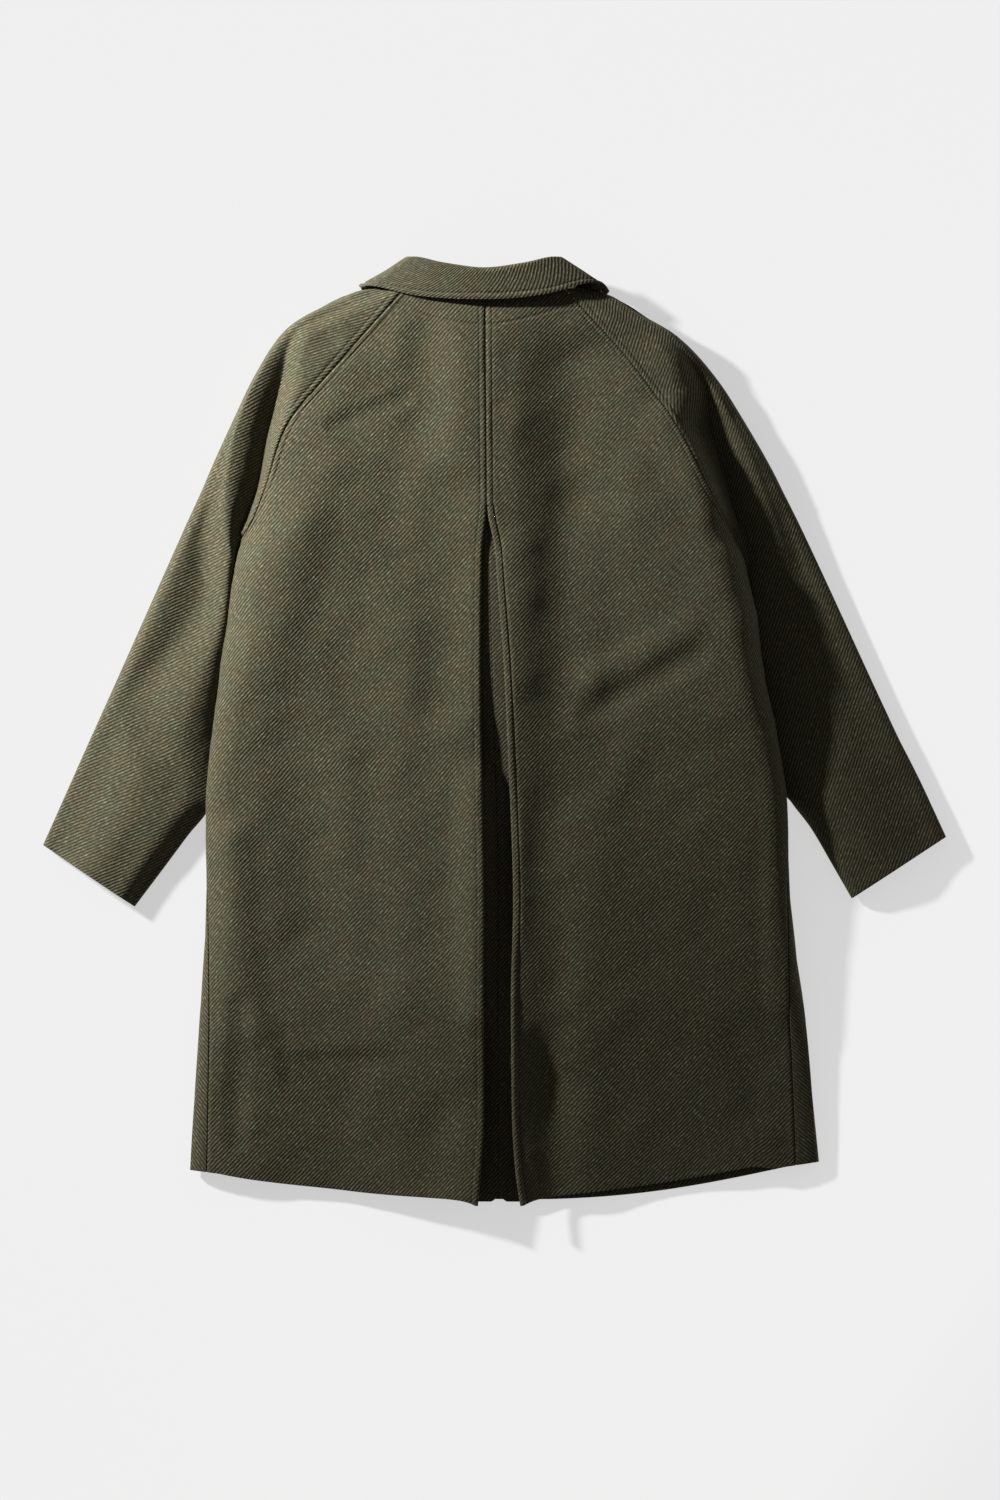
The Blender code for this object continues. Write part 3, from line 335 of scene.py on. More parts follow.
# Where the fall leaves the symmetrical form, around an angle: up from the shoulder, and towards the roll.
Lift = namedtuple("Lift", "angle spread up back")
LOWEST_FALL = 0.5  # the fall's edge stays this far above the surface
FALL_LIFTS = (
    Lift(-80, 10, 0.0, -2.5),
    Lift(-64, 40, -9.0, 0.0),
    Lift(-22, 16, 0.0, -1.2),
    Lift(-4, 26, 3.5, 0.0),
    Lift(28, 20, 3.5, 0.0),
    Lift(56, 30, 0.0, 10.5),
    Lift(70, 24, -4.0, 0.0),
    Lift(86, 10, 0.0, -4.0),
)
COLLAR_END = 172.0  # angle at which the collar stops, just short of the centre front

# Places of the columns beside a seam, close together where the seam sinks and where the stitching pulls in.
SEAM_PLACES = np.array([0, 0.5, 1.0, 1.6, 2.4, 3.4, 4.6, 5.6, 6.2, 6.8, 7.4, 8.0, 9.2, 11.0, 14.0])
PLEAT_PLACES = np.array([0, 0.5, 1.0, 1.6, 2.3, 3.0, 3.7, 4.2, 4.6, 5.0, 5.4, 5.9, 7.0, 9.2, 13.0])
STITCH_COLUMN = 9  # the column under the stitching, in both of the rows of places above
SEAM_STITCH = SEAM_PLACES[STITCH_COLUMN]
PLEAT_STITCH = PLEAT_PLACES[STITCH_COLUMN]
SEAM_ROOM = 1.2  # on a section less than this many times as long as these places, they close up

# The relief beside seams and edges: soft ridges and grooves, each at its distance from the seam.
Ridge = namedtuple("Ridge", "at half_width rise")
STITCHED_SEAM = (Ridge(3.4, 2.0, 0.4), Ridge(0.0, 1.1, -1.0), Ridge(SEAM_STITCH, 1.0, -0.62))
PLAIN_SEAM = (Ridge(4.0, 3.0, 0.2), Ridge(0.0, 1.5, -1.0))
LEFT_PLEAT_EDGE = (Ridge(PLEAT_STITCH, 1.0, -0.4),)
RIGHT_PLEAT_EDGE = (Ridge(PLEAT_STITCH, 1.0, -1.5),)
COLLAR_EDGE = (Ridge(3.0, 2.2, 0.8), Ridge(SEAM_STITCH, 1.1, -0.95))
NECK_FACING = (Ridge(0.0, 1.5, -1.0),)
RAGLAN_STITCH_FADE = 0.03  # the raglan seam turns plain over this much of the body above the underarm
SLEEVE_STITCH_FADE = 0.1  # and over this much of the sleeve
UNDERARM_PRESS = 0.4  # share of a plain seam's relief that shows along a sleeve's underarm seam
OUTER_EDGE_PRESS = 0.5  # and along its outer edge

FINE = 90  # points of a section's line before it is spaced out
BACK_COLUMNS = 104
FOLD_COLUMNS = 9
RETURN_COLUMNS = 14
SAG_COLUMN = RETURN_COLUMNS // 3  # the underlay sags below this column of the return, counted from its end
SLEEVE_COLUMNS = 66
HIDDEN_COLUMNS = 44
UNDERLAY_COLUMNS = 30
COLLAR_FALL_COLUMNS = 22
COLLAR_ARC_COLUMNS = 12
COLLAR_STAND_COLUMNS = 8
NECK_ROWS, BACK_ROWS = 36, 286
NECK_ROWS_END = 0.028  # the rows are closer above this station, for the facing's stitching
SLEEVE_UPPER_ROWS, SLEEVE_LOWER_ROWS = 104, 122
HIDDEN_ROWS = 150
COLLAR_ROWS = 300
FRONT_CROWDING, UNDER_SLEEVE_CROWDING, SLEEVE_CROWDING = 0.35, 0.5, 0.85  # of columns near both seams

# The facing inside the back neck is stitched through to the outside along this curve, from left to right.
NECK_FACING_LINE = ((-112, 471), (-60, 453), (-10, 447), (45, 457), (74, 466))


def smooth(places, values, at):
    """Value at a place on a smooth curve through the given ones, which never overshoots them."""
    places, values = np.asarray(places, float), np.asarray(values, float)
    steps = np.diff(places).reshape((-1,) + (1,) * (values.ndim - 1))
    slopes = np.diff(values, axis=0) / steps
    before, after = slopes[:-1], slopes[1:]
    same_way = before * after > 0
    total = np.where(same_way, before + after, 1.0)
    tangents = np.zeros_like(values)
    tangents[1:-1] = np.where(same_way, 2 * before * after / total, 0.0)
    tangents[0], tangents[-1] = slopes[0], slopes[-1]
    i = int(np.clip(np.searchsorted(places, at) - 1, 0, len(places) - 2))
    step = places[i + 1] - places[i]
    t = (np.clip(at, places[0], places[-1]) - places[i]) / step
    rise = step * ((t**3 - 2 * t**2 + t) * tangents[i] + (t**3 - t**2) * tangents[i + 1])
    return values[i] + (3 * t**2 - 2 * t**3) * (values[i + 1] - values[i]) + rise


@lru_cache(maxsize=None)
def station(table, at):
    """A table's row at any station, each column read from a smooth curve through its rows."""
    rows = np.array(table, float)
    return type(table[0])(*smooth(rows[:, 0], rows, at))


def ease(share):
    """A smooth step from 0 to 1."""
    share = np.clip(share, 0.0, 1.0)
    return share * share * (3 - 2 * share)


def below(start, down):
    """0 down to a station, then a smooth step to 1 at the hem."""
    return ease((down - start) / (1 - start))


def unit(vector):
    return vector / np.linalg.norm(vector)


def unit_rows(vectors):
    return vectors / np.linalg.norm(vectors, axis=1)[:, None]


def bump(distance, width):
    """A soft bump, 1 at no distance."""
    return np.exp(-((distance / width) ** 2))


def fold_height(x, y):
    """What the back's folds add at a place: a soft bump across each fold's line, rounded off at its ends."""
    total = np.zeros_like(x)
    for fold in BACK_FOLDS:
        start = np.array([fold.x0, fold.y0], float)
        line = np.array([fold.x1, fold.y1]) - start
        share = np.clip(((x - start[0]) * line[0] + (y - start[1]) * line[1]) / (line @ line), 0, 1)
        away = np.hypot(x - start[0] - share * line[0], y - start[1] - share * line[1])
        total = total + fold.rise * np.cos(np.clip(away / fold.half_width, 0, 1) * math.pi / 2) ** 2
    return total


def crease_height(creases, x, y):
    """What small creases add at a place: troughs and ridges along bowed lines, fading out at their ends."""
    total = np.zeros_like(x)
    for crease in creases:
        line = np.array([crease.x1 - crease.x0, crease.y1 - crease.y0], float)
        length = np.linalg.norm(line)
        along_x, along_y = line / length
        share = ((x - crease.x0) * along_x + (y - crease.y0) * along_y) / length
        across = (y - crease.y0) * along_x - (x - crease.x0) * along_y
        across = across - crease.bow * 4 * share * (1 - share)
        fade = ease(share / CREASE_FADE) * ease((1 - share) / CREASE_FADE)
        total = total + crease.rise * fade * bump(across, crease.half_width)
    return total


@lru_cache(maxsize=None)
def uneven_waves(seed):
    """(x pace, y pace, phase, height) of the long and short waves that keep a panel from lying dead flat."""
    chance = np.random.default_rng(seed)
    waves = []
    for length, height in UNEVEN_WAVES:
        for _ in range(WAVES_EACH):
            angle, phase = chance.uniform(0, 2 * math.pi, 2)
            pace = 2 * math.pi / (length * chance.uniform(*WAVE_SPREAD))
            share = height / math.sqrt(WAVES_EACH)
            waves.append((pace * math.cos(angle), pace * math.sin(angle), phase, share))
    return waves


def unevenness(seed, x, y):
    """Height of the cloth's slight waves at a place."""
    return sum(h * np.sin(px * x + py * y + phase) for px, py, phase, h in uneven_waves(seed))


def pressed(ridges, distance):
    """Relief at a distance from a seam or an edge, the sum of its soft ridges and grooves."""
    return sum(ridge.rise * bump(distance - ridge.at, ridge.half_width) for ridge in ridges)


def facing_line(x):
    """Where the neck facing's stitching runs at places across the coat."""
    facing_x, facing_y = np.array(NECK_FACING_LINE, float).T
    return np.array([smooth(facing_x, facing_y, at) for at in x])


def floor_height(x, y):
    """Height of the fronts' outer face: on the surface, but for the rise over the collar near the neck."""
    up = ease((y - NECK_LIFT_FROM) / (NECK_LIFT_FULL - NECK_LIFT_FROM))
    up = up + ease((y - NECK_LIFT_AGAIN) / (NECK_LIFT_END - NECK_LIFT_AGAIN))
    across = ease((NECK_LIFT_HALF_WIDTH + NECK_LIFT_FADE - np.abs(x - COLLAR_CENTRE_X)) / NECK_LIFT_FADE)
    return NECK_LIFT * up * across


def line_normals(points, inward, outside):
    """Normals of a section's line in its upright plane, on the outside as it is at the line's start."""
    tangents = np.gradient(points, axis=0)
    flat = np.array([inward[0], inward[1], 0.0])
    along, up = tangents @ flat, tangents[:, 2]
    normals = unit_rows(np.outer(-up, flat) + np.outer(along, UP))
    return normals if normals[0] @ outside >= 0 else -normals


def line_length(points):
    """Length along a line up to each of its points."""
    return np.concatenate([[0], np.cumsum(np.linalg.norm(np.diff(points, axis=0), axis=1))])


def read_line(at, length, values):
    """Points or normals of a line at the given distances along it."""
    return np.stack([np.interp(at, length, values[:, k]) for k in range(3)], axis=-1)


def spaced(points, normals, at):
    """A section's line again, with points at the given distances along it."""
    length = line_length(points)
    return read_line(at, length, points), unit_rows(read_line(at, length, normals))


def column_places(length, count, first, last):
    """Distances along a section: the given ones beside both seams, and even ones between them."""
    fit = min(1.0, length / (SEAM_ROOM * (first[-1] + last[-1])))
    start, end = first * fit, length - last[::-1] * fit
    middle = np.linspace(start[-1], end[0], count - len(first) - len(last) + 2)[1:-1]
    return np.concatenate([start, middle, end])


def even_places(length, count, crowding):
    """Distances along a section, closer together towards both ends."""
    t = np.linspace(0, 1, count)
    return length * ((1 - crowding) * t + crowding * (1 - np.cos(math.pi * t)) / 2)


# A row of a panel's grid: points and normals of its outer face, and each point's place on the flat cloth.
GridRow = namedtuple("GridRow", "points normals flat")


@dataclass(frozen=True, eq=False)
class Half:
    """One half of the coat: its tables, and what differs between the halves."""

    name: str
    sign: int  # of its side, seen from above
    side: tuple
    sleeve: tuple
    pleat_edge: tuple  # relief beside the pleat's edge
    grain: float  # turn of the sleeve's cloth against the back's
    hem_bow: float  # the hem of the back hangs this far below a straight line
    tip_reach: float  # share of the back, from its side, over which the hem comes up to the tip's drop
    front_bow: float  # half way to the side the front shows this far below a straight line

    def centre_x(self, down):
        """Edge of the panel at the centre back, with half a seam's gap to the other panel."""
        row = station(CENTRE, down)
        return (row.left if self.sign < 0 else row.right) + self.sign * SEAM_GAP / 2

    def section(self, down):
        """Side row, the outline's point, the edge at the centre back and the unit direction inward."""
        row = station(self.side, down)
        rise = NECK_RISE * ease(1 - down / NECK_RISE_FADE)
        edge = np.array([self.centre_x(down), NECK_Y + (HEM_Y - NECK_Y) * down + rise])
        outline = np.array([row.x, row.y], float)
        inward = unit(edge - outline)
        if down < UNDERARM and row.turn > 0:
            outline = outline - inward * row.roll * (1 - math.cos(math.radians(row.turn)))
        return row, outline, edge, inward

    def rolled(self, row, outline, inward, turns):
        """Points of the rounded side at the given turns, above the outline and below it."""
        turns = np.radians(turns)
        out = np.where(turns >= 0, row.roll, row.under) * (1 - np.cos(turns))
        height = np.where(turns >= 0, row.top - row.belly, row.belly) * np.sin(turns) + row.belly
        plan = outline + np.outer(out, inward)
        lift = fold_height(plan[:, 0], plan[:, 1]) * np.clip(np.sin(turns), 0, 1)
        return np.column_stack([plan, height + lift])

    def over_the_top(self, row, outline, edge, inward, down, shares):
        """Points of the panel between its rounded side at 0 and its edge at the centre back at 1."""
        start = outline + inward * row.roll
        plan = start + np.outer(shares, edge - start)
        away = np.abs(plan[:, 0] - edge[0])
        tip = below(TIP_FROM, down) * PLEAT_TIP_DROP
        rise = tip * (1 - np.exp(-away / PLEAT_TIP_WIDTH)) * ease(shares / self.tip_reach)
        plan[:, 1] += rise - below(HEM_FROM, down) * self.hem_bow * np.sin(math.pi * shares)
        crown = station(CENTRE, down).crown
        height = row.top + (crown - row.top) * np.sin(shares * math.pi / 2)
        height = height - row.sag * np.sin(math.pi * shares) ** SAG_POWER
        return np.column_stack([plan, height + fold_height(plan[:, 0], plan[:, 1])])

    def side_seam(self, down, facing):
        """The seam's turn on the rounded side, moved by half its gap towards the front (-1) or back (1)."""
        row = station(self.side, down)
        turn = math.radians(row.turn)
        wide, high = (row.roll, row.top - row.belly) if row.turn >= 0 else (row.under, row.belly)
        radius = math.hypot(wide * math.sin(turn), high * math.cos(turn))
        return row.turn + facing * math.degrees(SIDE_SEAM_GAP / 2 / radius)


LEFT = Half("left", -1, LEFT_SIDE, LEFT_SLEEVE, LEFT_PLEAT_EDGE,
            grain=24.0, hem_bow=8.5, tip_reach=0.5, front_bow=7.5)
RIGHT = Half("right", 1, RIGHT_SIDE, RIGHT_SLEEVE, RIGHT_PLEAT_EDGE,
             grain=-24.0, hem_bow=5.0, tip_reach=0.12, front_bow=15.0)
HALVES = (LEFT, RIGHT)


def back_stations():
    """Stations of the back's rows: closer at the neck, and with the ends of the centre seam among them."""
    neck = np.linspace(0, NECK_ROWS_END, NECK_ROWS)
    rows = np.concatenate([neck, np.linspace(NECK_ROWS_END, 1, BACK_ROWS)[1:]])
    return sorted({round(float(row), 6) for row in rows} | {SEAM_END, PLEAT_TOP})


@lru_cache(maxsize=None)
def back_outer(half, down):
    """The back's section from its raglan or side seam to the centre back: points, normals, edge, inward."""
    row, outline, edge, inward = half.section(down)
    turn = half.side_seam(down, 1)
    parts = []
    if turn < ON_TOP:
        parts.append(half.rolled(row, outline, inward, np.linspace(turn, 90, FINE, endpoint=False)))
    end = edge - inward * PLEAT_RADIUS if down >= PLEAT_TOP else edge
    first = SEAM_GAP / 2 / np.linalg.norm(end - outline) if turn >= ON_TOP else 0.0
    parts.append(half.over_the_top(row, outline, end, inward, down, np.linspace(first, 1, FINE)))
    points = np.concatenate(parts)
    outside = np.array([-inward[0], -inward[1], 0.0]) if turn < ON_SIDE else UP
    return points, line_normals(points, inward, outside), end, inward


def back_relief(half, down, line, from_side, from_centre):
    """Creases, seams and stitching of a back panel, as heights along its normals."""
    topstitched = ease((UNDERARM - down) / RAGLAN_STITCH_FADE)
    relief = topstitched * pressed(STITCHED_SEAM, from_side)
    relief = relief + (1 - topstitched) * pressed(PLAIN_SEAM, from_side)
    relief = relief + pressed(half.pleat_edge if down >= PLEAT_TOP else STITCHED_SEAM, from_centre)
    x, y = line[:, 0], line[:, 1]
    relief = relief + pressed(NECK_FACING, y - facing_line(x))
    calm = ease(from_side / SIDE_CALM) * ease(from_centre / CENTRE_CALM)
    return relief + (crease_height(BACK_CREASES, x, y) + unevenness(BACK_SEED, x, y)) * calm


def pleat_fold(line, inward):
    """The fold at the pleat's edge and the return under the panel, following the panel's end."""
    flat = np.array([inward[0], inward[1], 0.0])
    centre = line[-1] - UP * PLEAT_RADIUS
    angles = np.radians(np.linspace(90, -90, FOLD_COLUMNS + 1)[1:])
    arc_normals = np.outer(np.cos(angles), flat) + np.outer(np.sin(angles), UP)
    arc = centre + PLEAT_RADIUS * arc_normals
    away = np.linalg.norm(line[:, :2] - line[-1, :2], axis=1)[::-1]
    back = np.linspace(0, PLEAT_DEPTH, RETURN_COLUMNS + 1)[1:]
    under = read_line(back, away, line[::-1]) - 2 * PLEAT_RADIUS * UP
    return np.concatenate([arc, under]), np.concatenate([arc_normals, np.tile(-UP, (len(under), 1))])


@lru_cache(maxsize=None)
def back_grid(half):
    """Rows of a back panel, longer by the fold and the return below the pleat's top, or by the allowance."""
    rows = []
    for down in back_stations():
        points, normals, end, inward = back_outer(half, down)
        length = line_length(points)[-1]
        folded = down >= PLEAT_TOP
        at = column_places(length, BACK_COLUMNS, SEAM_PLACES, PLEAT_PLACES if folded else SEAM_PLACES)
        line, facing = spaced(points, normals, at)
        line = line + facing * back_relief(half, down, line, at, length - at)[:, None]
        flat = end - np.outer(length - at, inward)
        if folded:
            turned, turned_facing = pleat_fold(line, inward)
            past = line_length(np.concatenate([line[-1:], turned]))[1:]
        elif half is LEFT:
            past, height = np.array(ALLOWANCE).T
            turned = line[-1] + np.column_stack([past, np.zeros_like(past), height])
            turned_facing = np.tile(facing[-1], (len(past), 1))
        if folded or half is LEFT:
            line = np.concatenate([line, turned])
            facing = np.concatenate([facing, turned_facing])
            flat = np.concatenate([flat, end + np.outer(past, inward)])
        rows.append(GridRow(line, facing, flat))
    return rows


def underlay_grid(half):
    """Rows of one half of the pleat's underlay, from its inner fold to the seam at the pleat's centre."""
    rows = []
    back = dict(zip(back_stations(), back_grid(half)))
    for down in [d for d in back_stations() if d >= PLEAT_TOP]:
        _, _, edge, inward = half.section(down)
        centre = station(CENTRE, down)
        panel_end = back[down].points[BACK_COLUMNS - 1]
        start = back[down].points[-1] - UNDERLAY_GAP * UP
        middle = (centre.left + centre.right) / 2 + half.sign * SEAM_GAP / 2
        near, far = centre.left_drop, centre.right_drop
        if half.sign > 0:
            near, far = far, near
        edge_z = panel_end[2] - near
        middle_z = centre.crown - (near + far) / 2
        hem_y = edge[1] + UNDERLAY_HEM_RISE * below(TIP_FROM, down)
        notch = NOTCH_HEIGHT * below(NOTCH_FROM, down)
        guide_x = middle + UNDERLAY_POST * (edge[0] - middle)
        guide_z = middle_z + UNDERLAY_POST * (edge_z - middle_z)
        posts = np.array([
            start,
            back[down].points[-1 - SAG_COLUMN] - (UNDERLAY_GAP + UNDERLAY_SAG) * UP,
            (edge[0], hem_y, edge_z),
            (guide_x, hem_y, guide_z),
            (middle, edge[1] + notch, middle_z),
        ])
        places = line_length(posts)
        at = np.linspace(0, places[-1], UNDERLAY_COLUMNS)
        line = np.array([smooth(places, posts, place) for place in at])
        facing = line_normals(line, inward, UP)
        flat = np.column_stack([middle + half.sign * (places[-1] - at), line[:, 1]])
        rows.append(GridRow(line, facing, flat))
    return rows


def front_raglan_turn(row, down):
    """Turn on the rounded side that the front raglan seam has climbed to on its way to the underarm."""
    climb = (down - FRONT_RAGLAN_END) / (UNDERARM - FRONT_RAGLAN_END)
    return -90 + climb * (90 + row.turn)


def front_raglan(half, down):
    """Point of the front raglan seam: along the surface, then up the rounded side to the underarm."""
    row, outline, _, inward = half.section(down)
    if down > FRONT_RAGLAN_END:
        return half.rolled(row, outline, inward, np.array([front_raglan_turn(row, down)]))[0]
    seam = station(FRONT_RAGLAN, down)
    x = seam.left_x if half.sign < 0 else seam.right_x
    return np.array([x, seam.y, floor_height(x, seam.y)])


def front_edge(half, down):
    """The front's edge, past the centre front."""
    y = FRONT_NECK_Y + (HEM_Y + FRONT_HEM_RISE - FRONT_NECK_Y) * down
    return np.array([station(CENTRE, 0.0).left - half.sign * FRONT_OVERLAP, y])


def neckline_drop(x, down):
    """How far the front's rows follow the curve of the neck seam, which fades out below the neck."""
    across = np.clip(np.abs(x - COLLAR_CENTRE_X) / NECK_HALF_WIDTH, 0, 1)
    angles = 180 - np.degrees(np.arcsin(across))
    ring = np.array([station(COLLAR, float(angle)).neck_y for angle in angles]) - NECK_SEAM_GAP
    straight = np.interp(np.arange(len(x)), (0, len(x) - 1), (ring[0], ring[-1]))
    return (ring - straight) * ease(1 - down / NECKLINE_FADE)


def lap_height(half, x):
    """Height of the right front over the left one, which it laps past the centre front."""
    if half.sign < 0:
        return np.zeros_like(x)
    past = x - (station(CENTRE, 0.0).left + FRONT_OVERLAP)
    return (CLOTH + LAP_GAP) * ease(1 - (past - LAP_MARGIN) / LAP_MARGIN)


# The stations of the hidden panels' sections. Their finer rows are read from smooth curves through these.
UPPER_STATIONS = (0.0, 0.02, 0.04, 0.06, 0.08, 0.11, 0.14, 0.17, 0.205, 0.24, 0.262, UNDERARM)
LOWER_STATIONS = (0.335, 0.405, 0.48, 0.562, 0.61, 0.66, 0.722, 0.783, 0.83, 0.88, 0.94, 1.0)
LOWER_SLEEVE_STATIONS = (1.08, 1.18, 1.32, 1.46, 1.58, 1.68, 1.76, 1.84, 1.92, 2.0)


def front_section(half, down):
    """A front's section, from its edge along the surface and up the side: points, normals, edge, outward."""
    edge = front_edge(half, down)
    row, outline, _, inward = half.section(down)
    climb = np.zeros((0, 3))
    if down > FRONT_RAGLAN_END:
        turn = half.side_seam(down, -1)
        if down < UNDERARM:
            turn = front_raglan_turn(row, down) - FRONT_SEAM_TURN
        climb = half.rolled(row, outline, inward, np.linspace(FRONT_LIFT_OFF, turn, FINE))
        reach = climb[0, :2]
    else:
        seam = front_raglan(half, down)[:2]
        reach = seam + unit(edge - seam) * SEAM_GAP / 2
    shares = np.linspace(0, 1, FINE)
    plan = edge + np.outer(shares, reach - edge)
    plan[:, 1] += neckline_drop(plan[:, 0], down)
    plan[:, 1] -= half.front_bow * below(HEM_FROM, down) * np.sin(math.pi * shares)
    height = floor_height(plan[:, 0], plan[:, 1]) + lap_height(half, plan[:, 0])
    flat = np.column_stack([plan, height])
    points = np.concatenate([flat[:-1], climb]) if len(climb) else flat
    outward = unit(reach - edge)
    return points, line_normals(points, outward, -UP), edge, outward


def finer(stations, sections, count):
    """Grid rows at more stations, read from smooth curves through the sections at the given ones."""
    stacked = [np.stack(parts) for parts in zip(*sections)]
    rows = []
    spread = np.interp(np.linspace(0, len(stations) - 1, count), np.arange(len(stations)), stations)
    for at in spread:
        points, normals, flat = (smooth(stations, part, at) for part in stacked)
        rows.append(GridRow(points, unit_rows(normals), flat))
    return rows


def grain_turned(flat, degrees):
    """Places on the flat cloth turned to a sleeve's own grain."""
    turn = math.radians(degrees)
    return flat @ np.array([[math.cos(turn), math.sin(turn)], [-math.sin(turn), math.cos(turn)]])


def hidden_grid(half, section, stations, crowding, grain):
    """Rows of a panel that lies on the surface, through its sections at the given stations."""
    sections = []
    for place in stations:
        points, normals, start, across = section(half, place)
        at = even_places(line_length(points)[-1], HIDDEN_COLUMNS, crowding)
        line, facing = spaced(points, normals, at)
        sections.append((line, facing, grain_turned(start + np.outer(at, across), grain)))
    return finer(stations, sections, HIDDEN_ROWS)


def front_grid(half):
    """Rows of a front."""
    return hidden_grid(half, front_section, UPPER_STATIONS + LOWER_STATIONS, FRONT_CROWDING, 0.0)


def sleeve_profile(row, shares, length, start_z, end_z):
    """Heights across a sleeve's upper half: rounded outer edge, dip, crest, trough, bank and seam."""
    roll = row.roll / length
    seam_below = end_z < row.trough
    bank = 1.0 if seam_below else max(row.bank_at, row.trough_at + LEAST_BANK)
    reach = min(1.0, (1 - row.trough_at) / (bank - row.trough_at))
    places = (roll, row.dip_at, row.crest_at, row.trough_at, bank)
    levels = (row.shoulder, row.dip, row.crest, row.trough, end_z)
    heights = np.full(len(shares), row.shoulder)
    # Soft steps to the dip and the crest, a rounded drop to the trough, then the bank or the turn to the seam
    for i in range(len(places) - 1):
        t = np.clip((shares - places[i]) / (places[i + 1] - places[i]), 0, 1)
        if i < 2:
            step = ease(t)
        elif i == 2:
            step = 1 - np.cos(t * math.pi / 2)
        elif seam_below:
            step = (t + 1 - np.sqrt(1 - t**2)) / 2
        else:
            step = np.sin(t * math.pi / 2) / math.sin(reach * math.pi / 2)
        heights = np.where(t > 0, levels[i] + (levels[i + 1] - levels[i]) * step, heights)
    turn = np.arccos(np.clip(1 - shares / roll, 0, 1))
    return np.where(shares < roll, start_z + (row.shoulder - start_z) * np.sin(turn), heights)


def sleeve_back_section(half, along):
    """A section of a sleeve's upper half, from outer edge to seam: points, normals, outer edge, inward."""
    row = station(half.sleeve, along)
    start = np.array([row.out_x, row.out_y], float)
    end = np.array([row.in_x, row.in_y, UNDERARM_SEAM_Z + UNDERARM_SEAM_LIFT])
    seam_normal = None
    if along <= 1:
        body, body_normals, _, _ = back_outer(half, round(along * UNDERARM, 6))
        seam_normal = body_normals[0]
        end = body[0] - unit(body[1] - body[0]) * SEAM_GAP + seam_normal * SEAM_GAP * (1 - seam_normal[2])
        parting = UNDERARM_PARTING * ease(1 - (1 - along) / UNDERARM_FADE)
        end = end + seam_normal * parting / 2 + parting * UP
    shares = even_places(1.0, FINE * 2, SLEEVE_CROWDING)
    heights = sleeve_profile(row, shares, np.linalg.norm(end[:2] - start), row.edge + SEAM_GAP / 2, end[2])
    points = np.column_stack([start + np.outer(shares, end[:2] - start), heights])
    inward = unit(end[:2] - start)
    normals = line_normals(points, inward, np.array([-inward[0], -inward[1], EDGE_TILT]))
    normals[0] = (-inward[0], -inward[1], 0.0)
    if seam_normal is None:
        normals[-1] = (inward[0], inward[1], 0.0)
    elif seam_normal[2] > LEVEL:
        normals[-1] = seam_normal
    return points, normals, start, inward


def sleeve_back_row(half, along):
    """A row of a sleeve's upper half, before its creases and seams are pressed in."""
    points, normals, start, inward = sleeve_back_section(half, along)
    length = line_length(points)[-1]
    at = column_places(length, SLEEVE_COLUMNS, SEAM_PLACES, SEAM_PLACES)
    line, facing = spaced(points, normals, at)
    return line, facing, start + np.outer(at, inward), at, length - at


@lru_cache(maxsize=None)
def sleeve_back_grid(half):
    """Rows of a sleeve's upper half, from the neck to the cuff."""
    rows = []
    last_on_body = sleeve_back_row(half, 1.0)
    first_below = sleeve_back_row(half, 1 + UNDERARM_FADE)
    upper, lower = np.linspace(0, 1, SLEEVE_UPPER_ROWS), np.linspace(1, 2, SLEEVE_LOWER_ROWS)[1:]
    for along in np.concatenate([upper, lower]):
        if 1 < along < 1 + UNDERARM_FADE:
            share = (along - 1) / UNDERARM_FADE
            parts = [(1 - share) * a + share * b for a, b in zip(last_on_body, first_below)]
        else:
            parts = sleeve_back_row(half, float(along))
        line, facing, flat, from_edge, from_seam = parts
        facing = unit_rows(facing)
        topstitched = ease((1 - along) / SLEEVE_STITCH_FADE)
        relief = topstitched * pressed(STITCHED_SEAM, from_seam)
        relief = relief + (1 - topstitched) * pressed(PLAIN_SEAM, from_seam) * UNDERARM_PRESS
        relief = relief + OUTER_EDGE_PRESS * pressed(PLAIN_SEAM, from_edge)
        x, y = line[:, 0], line[:, 1]
        calm = ease(from_edge / SLEEVE_CALM) * ease(from_seam / SLEEVE_CALM)
        relief = relief + (crease_height(SLEEVE_CREASES, x, y) + unevenness(SLEEVE_SEED, x, y)) * calm
        rows.append(GridRow(line + facing * relief[:, None], facing, grain_turned(flat, half.grain)))
    return rows


